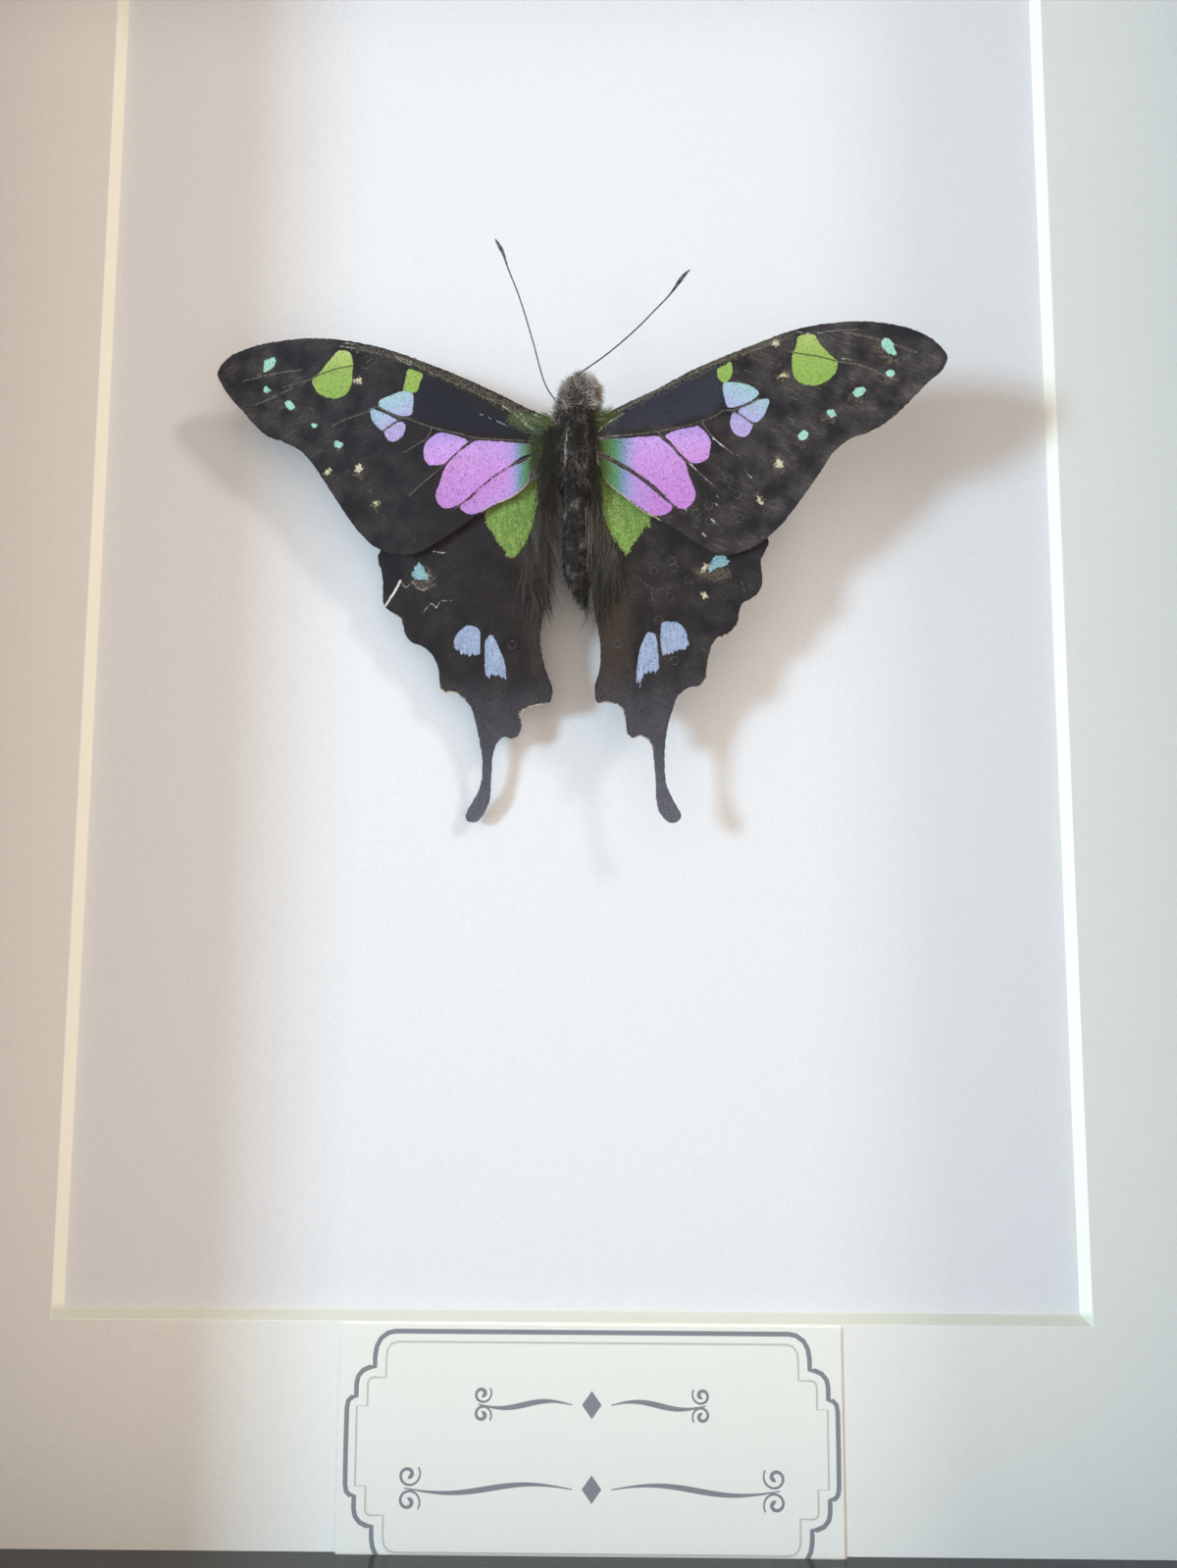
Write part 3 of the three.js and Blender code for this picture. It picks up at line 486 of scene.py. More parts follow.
WINGS = {
    "forewing_left": {
        "lean": LEAN,
        "wear": (0.05, 0.6),
        "relief": 1.0,
        "root": (-1, -4.0),
        "dusk": (-18.9, 4.0),
        "violet": [
            [(-11, 1.1), (-11.8, 1.5), (-12.8, 1.8), (-13.6, 2), (-14.2, 1.9), (-14.8, 1.5), (-15.3, 1),
             (-15.5, 0.4), (-15.5, -0.2), (-15.4, -0.7), (-15, -1.2), (-14.5, -1.3), (-13.8, -1.3),
             (-13.3, -1.2), (-12.9, -0.8), (-12.3, -0.3), (-11.6, 0.4), (-11, 0.9)],
            [(-10.2, 1), (-9.3, 1), (-7.8, 0.9), (-5.9, 0.7), (-4.2, 0.4), (-3.9, -0.1), (-5.7, -0.8),
             (-6.7, -1.6), (-7.9, -2.3), (-9, -3.1), (-10, -4), (-10.9, -4.7), (-11.9, -5.4),
             (-12.7, -5.7), (-13.3, -5.7), (-13.9, -5.3), (-14.2, -4.7), (-14.2, -4.1), (-14, -3.6),
             (-13.7, -2.8), (-13.5, -2.1), (-13.2, -1.5), (-12.6, -0.8), (-11.8, -0.1), (-11, 0.5)],
            [(-4.2, -0.6), (-4.9, -1.1), (-5.7, -1.4), (-6.7, -1.8), (-7.7, -2.4), (-8.7, -3.1),
             (-9.7, -3.9), (-10.6, -4.8), (-11.3, -5.2), (-11.7, -5.6), (-11.7, -5.8), (-11.3, -6.1),
             (-10.6, -6.4), (-9.7, -6.2), (-8.7, -5.8), (-7.7, -5.4), (-6.7, -4.9), (-5.7, -4.2),
             (-5, -3.4), (-4.6, -2.6), (-4.4, -1.7)],
        ],
        "cool": [
            [(-3.9, 0.9), (-5.7, 0.6), (-7.2, 0.6), (-7.9, -0.2), (-6.7, -0.8), (-5.5, -1.4), (-6.5, -2.8),
             (-7.9, -4.2), (-9.7, -5.2), (-11.3, -5.7), (-11.5, -6.3), (-10.2, -6.5), (-8.4, -5.9),
             (-6.5, -5), (-5.1, -3.8), (-4.1, -2.4), (-3.7, -0.7)],
        ],
        "green": [
            [(-24.6, 10.7), (-24.1, 10.8), (-23.3, 10.6), (-23, 10), (-22.9, 9.2), (-23, 8.3), (-23, 7.6),
             (-23.3, 6.8), (-23.7, 6.3), (-24.4, 6), (-25.1, 6), (-25.9, 6.2), (-26.6, 6.6), (-27.1, 7.4),
             (-27.2, 7.9), (-26.8, 8.2), (-26.3, 8.7), (-26, 9.1), (-25.5, 9.7), (-25.1, 10.1)],
            [(-17.1, 8.6), (-15.9, 8.2), (-15.6, 7.9), (-15.8, 7.5), (-16, 6.9), (-16.2, 6.3),
             (-16.7, 6.2), (-17.3, 6.4), (-17.7, 6.4), (-17.5, 7.3), (-17.3, 8.1)],
        ],
        "sky": [
            [(-20.2, 5.2), (-20, 5.6), (-19.2, 5.9), (-18.4, 6.2), (-17.6, 6.4), (-16.8, 6.2),
             (-16.6, 5.8), (-16.6, 5), (-16.7, 4.1), (-17.1, 3.8), (-17.9, 3.8), (-18.7, 4.1),
             (-19.5, 4.5), (-20.1, 4.9)],
            [(-21.1, 4.7), (-20.6, 4.6), (-19.7, 4.2), (-18.9, 3.8), (-18.3, 3.4), (-18.5, 3.2),
             (-19.2, 2.8), (-19.8, 2.4), (-20.2, 2.7), (-20.8, 3.4), (-21, 4)],
            [(-17.9, 3.2), (-17.6, 3.1), (-17.4, 2.8), (-17.5, 2.2), (-17.8, 1.7), (-18.4, 1.3),
             (-18.9, 1.3), (-19.2, 1.4), (-19.5, 1.9), (-19.6, 2.3), (-19.1, 2.6), (-18.5, 3)],
        ],
        "mint": [
            [(-32.3, 10.2), (-31.7, 10.4), (-31.3, 10.5), (-31.1, 10.1), (-31.3, 9.5), (-31.7, 9.2),
             (-32.2, 9), (-32.6, 9), (-32.4, 9.4)],
            [(-32.2, 7.6), (-31.6, 7.1), (-32.1, 6.8), (-32.5, 7.2)],
            [(-30.2, 5.8), (-29.7, 6), (-29.3, 5.7), (-29, 5.2), (-29.5, 5), (-29.9, 5.1)],
            [(-27.2, 3.6), (-26.7, 3.4), (-26.6, 3.2), (-27.1, 3), (-27.3, 3.3)],
            [(-24.7, 1.7), (-24.2, 1.5), (-23.9, 1.2), (-24.4, 0.8), (-24.9, 1.1), (-24.9, 1.5)],
        ],
        "cream": [
            [(-22.5, -1), (-22.1, -0.9), (-21.9, -1.3), (-22.3, -1.8), (-22.7, -1.4)],
            [(-20.5, -4.6), (-20.1, -4.8), (-20.4, -5.1), (-20.9, -5)],
            [(-22.8, 7.7), (-22.4, 8), (-21.9, 7.9), (-22.1, 7.5), (-22.4, 7.4)],
            [(-26, -1.9), (-25.8, -1.4), (-25.3, -1.2), (-25.1, -1.4), (-25.6, -1.9)],
            [(-4.2, 3.5), (-3.6, 3.2), (-2.8, 3), (-3.1, 2.7), (-3.9, 3.1)],
        ],
        "cell": [
            [(-3.2, 1.6), (-6.8, 3.2), (-10.8, 5.3), (-14.9, 7.5), (-15.7, 7.9), (-15.9, 6.9),
             (-16.4, 5.5), (-16.5, 4), (-14.8, 3.1), (-11.8, 2.3), (-8.8, 1.6), (-3.8, 1.2)],
        ],
        "moss": [[(-2.2, 3), (-3.8, 3.3), (-5.8, 3.7), (-7, 3), (-5.3, 2), (-3.3, 1.2), (-2.2, 1)]],
        "strip": [
            [(-2.5, 2.3), (-4.8, 3.8), (-7.8, 5.5), (-10.8, 7.1), (-13.9, 8.5), (-16.9, 9.9),
             (-19.5, 10.7), (-22.9, 11.5), (-23.3, 11.1), (-19.5, 10.2), (-16.4, 8.9), (-13.3, 7.4),
             (-9.8, 5.7), (-6.8, 4), (-4.3, 2.3), (-2.8, 1.1)],
        ],
        "veins": [
            [(-3, 0.8), (-3.7, 0.8), (-6.7, 1), (-10.1, 1.3), (-11.8, 1.8), (-13.8, 2.3), (-15.9, 3),
             (-17.4, 3.6), (-18.4, 3.8), (-20.4, 4.9)],
            [(-10.3, 1.3), (-11.8, 0.1), (-13.3, -1.3), (-14.8, -2.5), (-17, -4.3)],
            [(-14.7, 2.5), (-15.1, 1.5), (-16.3, 0.8), (-17.5, 0.1)],
            [(-3.9, -0.6), (-6, -1.3), (-7.7, -2.2), (-9.7, -3.7), (-10.9, -4.8), (-12.2, -5.8)],
            [(-17.7, 3.6), (-18.3, 3.3), (-19.3, 2.6), (-19.8, 2.2)],
            [(-23.1, 11), (-18.5, 9.8), (-15.9, 8.7), (-13.3, 7.4), (-8.8, 5.2), (-5.8, 3.4), (-3.2, 1.4)],
            [(-23, 9.1), (-24.6, 8.9), (-26, 8.5), (-27.6, 7.9), (-30.3, 7.3)],
            [(-28.3, 9), (-30.9, 8.8), (-34.5, 8.1)],
            [(-29.3, 7.2), (-31.4, 6.3), (-33.2, 5.6)],
            [(-20.4, 4.9), (-21.3, 4.4), (-23.5, 3.8), (-25.1, 3.1)],
        ],
        "flecks": [
            [(-24.1, 11.6), (-22.9, 11.4)], [(-24.2, 11.25), (-22.9, 10.95)], [(-18.6, 10), (-16.8, 9.3)],
            [(-18.2, 9.6), (-16.8, 8.95)], [(-9.8, 3.8), (-9.4, 3.65)], [(-8.9, 3.4), (-8.6, 3.25)],
            [(-8, 3), (-7.5, 2.75), (-7, 2.5)], [(-22.6, 10.6), (-22.3, 10.5)],
            [(-5.8, 3.8), (-4.4, 2.5), (-3.3, 1.5), (-2.6, 0.8)], [(-7.5, 4.5), (-5.6, 3.1), (-4, 1.8)],
            [(-5.2, 2.6), (-4.4, 2), (-3.4, 1.2)],
        ],
        "scratches": [
            [(-23.8, -2), (-23.3, -1.4)], [(-21.9, 9.9), (-21.3, 10.3)], [(-21.6, 9.4), (-20.9, 9.8)],
            [(-21, 9.2), (-20.4, 9.5)], [(-22, 9), (-21.6, 8.8), (-21.1, 9)], [(-19.8, 9.3), (-19.4, 9.6)],
            [(-27.5, 5.1), (-26.9, 4.8)], [(-24.8, -5.5), (-24.3, -5)], [(-21.2, -3.3), (-20.9, -4.2)],
            [(-19.7, -6.1), (-19.5, -6.6)], [(-17.4, -7.6), (-16.9, -8.3), (-16.3, -8.9)],
        ],
        "tan": [
            [(-33.1, 9), (-32.4, 9.1), (-32.2, 8.7), (-32.9, 8.6)],
            [(-32.4, 6.9), (-31.9, 6.9), (-31.9, 6.5)],
            [(-29.5, 5.1), (-29, 5.2), (-29, 4.8)], [(-22.9, 7.5), (-22.5, 8.1), (-21.8, 8), (-22.1, 7.3)],
            [(-22.6, -1.6), (-22, -1.4), (-21.8, -2.2), (-22.4, -2.2)],
            [(-21, -4.7), (-20, -4.6), (-20.4, -5.6)],
            [(-24.6, 1), (-24.1, 1), (-24.2, 0.6)],
        ],
        "hem": [[(-4.9, -3.3), (-5.3, -4.1), (-6.7, -5), (-8, -5.8), (-9, -6.3)]],
        "drop_glints": [(-3.7, -3.5)],
    },
    "forewing_right": {
        "lean": LEAN,
        "wear": (0.5, 1.0),
        "relief": 1.0,
        "root": (0.72, -1.75),
        "dusk": (16.9, 3.6),
        "violet": [
            [(12.2, 1.7), (12.9, 1.1), (13.3, 0.6), (13.5, 0), (13.4, -0.8), (13.3, -1.4), (12.8, -1.8),
             (12, -2), (11.3, -1.8), (10.9, -1.4), (10.2, -0.7), (9.6, 0.1), (9, 0.7), (9.1, 0.9),
             (10, 1.3), (11, 1.5), (11.8, 1.6)],
            [(8.3, 0.8), (8.7, 0.4), (9.5, -0.3), (10.2, -1.1), (10.9, -1.8), (11.1, -2.3), (11.3, -3.1),
             (11.6, -3.8), (11.9, -4.6), (12, -5.2), (11.8, -5.8), (11.3, -6.3), (10.9, -6.5),
             (10.3, -6.4), (9.8, -6), (9.1, -5.3), (8.3, -4.5), (7.4, -3.7), (6.3, -2.9), (5.4, -2.2),
             (4.4, -1.6), (3.2, -0.9), (1.8, -0.3), (1.8, 0.4), (3.7, 0.7), (5.2, 0.7), (6.6, 0.8),
             (7.6, 0.8)],
            [(1.8, -0.7), (3, -1.3), (3.9, -1.8), (4.7, -2.3), (5.7, -2.9), (6.6, -3.6), (7.6, -4.4),
             (8.5, -5.2), (9.2, -5.8), (9.7, -6.2), (9.5, -6.7), (8.9, -7), (8.2, -7.1), (7.5, -6.9),
             (6.9, -6.5), (6, -5.8), (5.2, -5.3), (4.4, -4.7), (3.7, -4.1), (3, -3.3), (2.4, -2.5),
             (1.9, -1.5)],
        ],
        "cool": [
            [(1.8, 0.3), (3.4, 0.5), (5.2, 0.6), (5.7, 0), (5, -1), (4, -1.5), (5.2, -2.6), (6.6, -3.6),
             (7.3, -5), (7.5, -6.2), (6.7, -6.4), (5.2, -5.3), (3.7, -4.3), (2.4, -3.1), (1.6, -1.6)],
        ],
        "green": [
            [(22, 10.1), (22.7, 10.3), (23.6, 10.2), (23.8, 9.8), (24.2, 9.2), (24.7, 8.6), (25.2, 8),
             (25.7, 7.6), (25.8, 7), (25.6, 6.4), (25.1, 5.8), (24.4, 5.4), (23.7, 5.2), (22.8, 5.3),
             (22.1, 5.6), (21.6, 6.2), (21.4, 7.2), (21.4, 8.1), (21.5, 8.5), (21.8, 9.1), (21.9, 9.7)],
            [(14.2, 7.3), (14.9, 7.6), (15.4, 7.9), (15.6, 6.9), (15.3, 6.2), (14.9, 5.8), (14.4, 6.1),
             (14.1, 6.6)],
        ],
        "sky": [
            [(14.7, 5.8), (15.3, 5.9), (16.3, 5.8), (17.3, 5.5), (17.9, 5.1), (18.2, 4.7), (17.9, 4.3),
             (17.3, 3.9), (16.5, 3.6), (15.7, 3.4), (15.1, 3.5), (14.9, 4.1), (14.7, 5)],
            [(19, 4.1), (19.2, 3.8), (19, 3.2), (18.7, 2.5), (18.2, 2), (17.8, 1.8), (17.2, 2.2),
             (16.5, 2.7), (16.2, 3), (16.5, 3.3), (17.3, 3.6), (18.1, 4)],
            [(15.6, 2.8), (16, 2.8), (16.6, 2.4), (17.2, 2), (17.6, 1.7), (17.5, 1.2), (17.1, 0.6),
             (16.5, 0.5), (15.8, 0.9), (15.5, 1.4), (15.4, 2.1)],
        ],
        "mint": [
            [(30, 9.3), (30.4, 9.6), (30.9, 9.4), (31.2, 8.8), (31.5, 8.1), (31.3, 7.9), (30.7, 8.1),
             (30.3, 8.5), (30, 8.9)],
            [(30.4, 6.2), (30.7, 6.5), (31.1, 6.5), (31.4, 6.2), (31.1, 5.8), (30.7, 5.7)],
            [(27.3, 4.5), (27.7, 4.9), (28.3, 4.9), (28.6, 4.6), (28.3, 4.2), (27.8, 3.9), (27.4, 4.1)],
            [(24.7, 2.5), (25, 2.8), (25.4, 2.8), (25.7, 2.2), (25.3, 2), (24.9, 2.2)],
            [(21.9, 0.3), (22.3, 0.7), (22.6, 0.9), (23, 0.5), (22.8, 0), (22.5, -0.1), (22.1, 0)],
        ],
        "cream": [
            [(19.8, -2.1), (20.1, -1.8), (20.6, -2.2), (20.5, -2.6), (20.1, -2.7), (19.8, -2.5)],
            [(18.1, -5.4), (18.4, -5.6), (18.8, -6), (18.5, -6.2), (18.1, -5.8)],
            [(19.3, 9.5), (19.7, 9.8), (20.2, 9.7), (20.2, 9.4), (19.7, 9.2)],
            [(20, 6.2), (20.5, 6.6), (21.1, 6.4), (20.6, 6.1)],
        ],
        "cell": [
            [(2.4, 2), (5.1, 3.7), (9, 5.7), (12.4, 7.1), (14.2, 7.5), (14.5, 6.1), (14.7, 4.5),
             (14.4, 3.4), (12.5, 2.6), (10, 2.1), (7.1, 1.8), (3.7, 1.4)],
        ],
        "moss": [
            [(0.5, 2.1), (1.2, 3.1), (2.7, 3.4), (4, 3.7), (4.2, 2.8), (3.2, 2), (1.9, 1.3),
             (0.7, 1.3)],
        ],
        "strip": [
            [(1.2, 2.7), (3.7, 3.8), (7.1, 5.4), (11, 7), (14.8, 8.6), (18.7, 10), (20.9, 10.6),
             (21.1, 10.1), (18.7, 9.3), (14.9, 7.8), (11, 6.3), (7.6, 4.8), (4.6, 3.3), (2.4, 2)],
        ],
        "veins": [
            [(1.2, 0.9), (5.2, 1), (8.6, 1.3), (11, 1.7), (12.5, 2.1), (13.9, 2.6), (14.7, 3.1), (16, 3.2),
             (18.3, 4.2)],
            [(8.2, 1.2), (9.6, -0.3), (11, -1.7), (12.6, -3.2), (13.9, -4.4)],
            [(12.5, 2.1), (13.9, 0.3), (15.7, -1.2)],
            [(1.6, -0.4), (4.2, -1.7), (6.2, -3), (8.1, -4.6), (10.1, -6.5)],
            [(15.4, 3.1), (16.5, 2.5), (17.8, 1.5)],
            [(20.9, 9.9), (17.7, 8.9), (13.9, 7.8), (10, 6.1), (6.1, 4.3), (2.7, 2.6)],
            [(21.2, 8.6), (23, 8.2), (24.4, 7.9), (25.9, 7.4), (28.2, 6.9), (31.5, 5.4)],
            [(26.3, 10.3), (30.1, 9.3), (33.4, 8)],
        ],
        "flecks": [
            [(23.7, 10.3), (24.6, 10.45), (25.6, 10.5)], [(21.7, 10.6), (23.3, 10.3)],
            [(19.4, 9.6), (20.1, 9.6)], [(1.9, 0.7), (4.3, 0.95)], [(2.2, 1.4), (3.6, 2.6)],
            [(2.6, 1.9), (4.8, 3.2)], [(25.9, 7.8), (26.4, 7.7), (27.1, 7.6)],
            [(14.1, -5.3), (14.3, -5.5)], [(14.6, -3), (14.7, -3.2)], [(12.9, -3.6), (13.1, -3.7)],
        ],
        "cuts": [
            [(13.6, 0.5), (14.2, 0), (14.8, -0.5)], [(16.1, -1.3), (16.3, -1.5)],
            [(17.2, -3.3), (17.5, -3.6)], [(11.4, -2), (12.1, -2.7)], [(12.7, -9), (13, -9.3)],
            [(10.9, -6.4), (11.1, -6.7)], [(13.9, -6), (14.1, -6.2)], [(13.6, -7.6), (13.9, -8)],
        ],
        "scratches": [
            [(25.6, 10.5), (27, 10.55), (28.6, 10.4)], [(14.8, -0.5), (15.5, -1)],
            [(16.3, -1.5), (17.2, -3.3)],
            [(16.7, 7), (17.4, 6.8)], [(12.4, 7.2), (12.8, 7)], [(19.9, 7.1), (20.4, 7.6)],
            [(13.2, -3.9), (13.5, -4.2)], [(15.2, -4.3), (15.6, -4.7)], [(14.4, -8.6), (14.7, -9.1)],
            [(21.1, 2.1), (21.7, 1.6)], [(24, 4.9), (24.8, 4.4)], [(28.6, 6.9), (29.6, 6.5)],
        ],
        "tan": [
            [(29.8, 9.1), (30.7, 8.1), (31.5, 7.7), (31.5, 7.1), (30.2, 7.5), (29.5, 8.4)],
            [(30.3, 6.1), (31.3, 6), (31.4, 5.3), (30.4, 5.4)],
            [(27.1, 4.4), (28.3, 4.2), (28.2, 3.4), (27, 3.7)],
            [(24.5, 2.5), (25.5, 2.1), (25.3, 1.5), (24.3, 1.9)], [(21.7, 0.3), (22.9, 0.1), (22.4, -0.7)],
            [(19.6, -1.6), (20.5, -1.7), (20.9, -2.6), (19.9, -3.3)],
            [(17.9, -5.2), (18.6, -5.6), (18.9, -6.3)],
            [(19.9, 6.6), (21.1, 6.8), (20.9, 5.9), (20, 5.8)],
        ],
        "hem": [[(1.9, -2.6), (2.9, -4), (4.3, -5.1), (5.5, -5.9), (7, -6.9), (8.1, -7.4)]],
        "drop_glints": [(12.7, -5.3), (13.3, -6.2), (13.4, -7.8), (16.3, -7.6), (12, -7), (15.3, -3.7),
                  (16.1, -5.2), (12.2, -8)],
    },
    "hindwing_left": {
        "lean": LEFT_HINDWING_LEAN,
        "wear": (0.1, 0.3),
        "relief": 0.3,
        "leaf": [
            [(-9.1, -5.5), (-8.3, -4.7), (-6.8, -3.8), (-4.7, -2.6), (-3.2, -2.3), (-3.2, -3.6),
             (-3.6, -4.6), (-3.9, -5.6), (-4.2, -6.8), (-4.6, -8.1), (-5.1, -9.3), (-5.7, -10.1),
             (-6.3, -10.7), (-6.8, -10.6), (-7.2, -9.8), (-7.8, -9.1), (-8.4, -8.2), (-9, -7.3),
             (-9.2, -6.8)],
        ],
        "cyan": [
            [(-16, -10.9), (-15.8, -11.1), (-15.5, -11.7), (-15, -12.3), (-15.2, -12.6), (-15.8, -12.6),
             (-16.5, -12.5), (-16.8, -12.2), (-16.6, -11.6), (-16.3, -11.1)],
        ],
        "blue": [
            [(-10.9, -17.4), (-10.5, -17.5), (-10, -17.7), (-9.7, -18.1), (-9.7, -18.9), (-9.7, -19.7),
             (-9.8, -20.5), (-10.7, -20.6), (-11.3, -20.5), (-11.9, -20.2), (-12.3, -19.8),
             (-12.4, -19.1), (-12.2, -18.5), (-11.7, -17.9), (-11.2, -17.5)],
            [(-8.6, -18.4), (-8.3, -18.7), (-7.9, -19.4), (-7.6, -20.1), (-7.3, -20.9), (-7.1, -21.6),
             (-7, -22.4), (-7.1, -23.1), (-7.6, -22.9), (-8.2, -22.6), (-8.8, -22.9), (-9.1, -22.4),
             (-9.2, -21.4), (-9.2, -20.2), (-9.2, -19.2), (-8.9, -18.7)],
        ],
        "fray": [
            [(-12.3, -20), (-11.3, -20.6), (-10.5, -20.7), (-9.7, -20.6)],
            [(-9.1, -22.9), (-8.2, -22.7), (-7.6, -23), (-7, -23.2)],
        ],
        "brown": [
            [(-3.2, -3.6), (-2.1, -4.7), (-2.5, -9.6), (-2.7, -13.6), (-3.1, -18.5), (-3.8, -22.5),
             (-4.7, -18.5), (-5.2, -13.5), (-5.7, -11), (-4.2, -8.1)],
        ],
        "folds": [
            [(-4.5, -3.4), (-9, -6.2), (-14, -9.4), (-18.8, -12.6)],
            [(-6.5, -6), (-10.5, -10), (-14, -14.5), (-16.5, -18.2)],
            [(-6.2, -8.2), (-9.3, -13), (-12, -18.5), (-13.2, -23.4)],
            [(-5.6, -9.6), (-7.8, -14), (-9.5, -18.5), (-9.9, -24), (-9.2, -32), (-10.2, -36.6)],
            [(-4.8, -9), (-5.8, -14), (-6.7, -20), (-6.8, -27.5)],
        ],
        "cuts": [[(-14.7, -9.8), (-13.3, -10)]],
        "tears": [[(-18, -12.7), (-18.4, -13.5), (-18.9, -14.3), (-19.5, -15.2)]],
        "flecks": [
            [(-17.9, -12.9), (-17.4, -13.4), (-16.7, -12.8), (-16.4, -13.3), (-15.6, -13.7), (-15, -13.3)],
            [(-15.7, -16.1), (-15.2, -15.5), (-14.7, -15.1), (-14.2, -15.6), (-13.8, -14.9),
             (-12.6, -14.9)],
        ],
        "hem": [
            [(-5.5, -26.5), (-4.5, -26), (-3.1, -25.8)], [(-17.8, -16.3), (-16.8, -16.9), (-15.6, -18.3)],
            [(-13.7, -23.9), (-12.5, -24.3), (-11.3, -25)],
        ],
        "tan": [
            [(-16.2, -11.6), (-15.2, -11.5), (-14.4, -12.4), (-14.6, -13.4), (-15.8, -13.6),
             (-16.6, -12.9)],
        ],
        "drop_glints": [(-6.4, -19.5)],
    },
    "hindwing_right": {
        "lean": RIGHT_HINDWING_LEAN,
        "wear": (0.3, 0.4),
        "relief": 0.3,
        "leaf": [
            [(1.6, 0.2), (2.4, -1.5), (3.7, -2.7), (5.7, -4.6), (7.6, -6.3), (7.6, -7.1), (7.5, -7.9),
             (7, -7.9), (6.6, -8.7), (6, -9.4), (5.5, -10.1), (5.3, -10.7), (4.9, -10.5), (4.4, -9.9),
             (3.9, -9), (3.3, -7.9), (2.7, -6.5), (2.3, -5.2), (2, -3.7), (1.8, -2.4)],
        ],
        "cyan": [
            [(13.8, -11.3), (14.2, -11.1), (15, -11.1), (15.4, -11.7), (15.2, -12), (14.5, -12.2),
             (13.9, -12.4), (13.6, -12.7), (13.3, -12.6), (13.5, -12), (13.7, -11.7)],
        ],
        "cream": [
            [(12.6, -12.3), (12.9, -11.9), (13.4, -12), (13.1, -12.5), (12.7, -12.7)],
            [(12.5, -14.8), (13, -14.7), (13.3, -15.2), (12.9, -15.4)],
        ],
        "blue": [
            [(8.6, -18.6), (8.7, -17.8), (9, -17.6), (9.6, -17.6), (10.3, -17.7), (10.8, -18.1),
             (11.1, -18.7), (11.3, -19.5), (11.4, -20.2), (10.8, -20.5), (10.2, -20.7), (9.4, -20.9),
             (9, -21.2), (8.8, -20.8), (8.6, -19.8)],
            [(7.5, -18.6), (8, -18.8), (8.2, -19.4), (8.3, -20.3), (8.4, -21.3), (8.4, -22.3),
             (8.2, -22.8), (7.4, -22.7), (7, -23.1), (6.7, -23.5), (6.5, -24.3), (6.2, -23.7),
             (6.2, -22.8), (6.3, -21.8), (6.4, -21), (6.6, -20.1), (6.9, -19.4), (7.2, -18.8)],
        ],
        "fray": [
            [(8.7, -21.2), (9.4, -21), (10.2, -20.8), (10.9, -20.6), (11.5, -20.2)],
            [(6.2, -24.2), (6.7, -23.6), (7, -23.2), (7.5, -22.8), (8.4, -22.7)],
        ],
        "brown": [
            [(1.8, -3.7), (2.7, -6.7), (4.4, -10.3), (5.2, -13.8), (5.3, -18.8), (4.3, -23.7),
             (2.5, -25.7), (2, -18.7), (1.7, -11.7)],
        ],
        "folds": [
            [(3.4, -3.4), (8, -6.6), (13, -9.6), (17.8, -12.6)],
            [(5.2, -6.4), (9, -10.2), (12.6, -14.4), (15.8, -18.4)],
            [(5.2, -8.6), (8.2, -13), (11, -18), (12.9, -23)],
            [(4.8, -9.8), (6.9, -14), (8.5, -19), (9.4, -24.5), (8.8, -31.5), (9.8, -36.8)],
            [(4, -9.4), (4.7, -14), (5.6, -20), (6, -27.6)],
        ],
        "scratches": [
            [(6, -12.8), (7.8, -14.2), (9.6, -14.2)], [(7.7, -14.4), (7.8, -15.5)],
            [(16, -12.6), (16.6, -13.8), (16.9, -14.8)],
        ],
        "hem": [
            [(2.9, -25.9), (4.2, -25.8), (4.9, -26.6)], [(13.5, -19.9), (14.5, -19), (15.8, -18.7)],
            [(13.1, -23.4), (12.9, -21.9)], [(6.4, -29.3), (7.3, -29.6), (8, -30.1)],
        ],
        "tan": [
            [(13.2, -12), (14.2, -12.2), (15.2, -12.3), (15.4, -13.2), (14, -13.6), (12.4, -13.2),
             (12, -12.4)],
        ],
        "drop_glints": [(9.9, -12.2), (7.9, -12.4), (9.7, -11.5), (9.5, -15.1), (8.4, -17.4), (4.3, -19.7),
                  (10, -21.5), (11.4, -13.4)],
    },
}

chance = np.random.default_rng(SEED)


def rounded(chain, closed, step):
    """A smooth line through the points of a chain, cut into pieces of about one step."""
    chain = np.array(chain, float)
    if closed:
        knots = np.vstack([chain[-1:], chain, chain[:2]])
    else:
        knots = np.vstack([2 * chain[0] - chain[1], chain, 2 * chain[-1] - chain[-2]])
    parts = []
    for a, b, c, d in zip(knots, knots[1:], knots[2:], knots[3:]):
        count = max(2, int(np.linalg.norm(c - b) / step))
        t = (np.arange(count) / count)[:, None]
        parts.append(0.5 * (2 * b + (c - a) * t + (2 * a - 5 * b + 4 * c - d) * t ** 2
                            + (3 * b - a - 3 * c + d) * t ** 3))
    return np.vstack(parts if closed else parts + [chain[-1:]])


def gap(points, chains, closed=False):
    """The distance of each point to the nearest of some lines."""
    nearest = np.full(len(points), FAR)
    for chain in chains:
        for a, b in zip(chain, np.roll(chain, -1, 0) if closed else chain[1:]):
            way = b - a
            along = np.clip((points - a) @ way / max(way @ way, TINY), 0, 1)[:, None]
            nearest = np.minimum(nearest, np.linalg.norm(points - a - along * way, axis=1))
    return nearest


def depth_in(points, rings, smooth):
    """How far each point lies inside the nearest of the rings. Outside it is below zero."""
    deepest = np.full(len(points), -FAR)
    for ring in rings:
        ring = rounded(ring, True, PATCH_STEP) if smooth else np.array(ring, float)
        deepest = np.maximum(deepest, gap(points, [ring], True) * np.where(inside(points, ring), 1, -1))
    return deepest


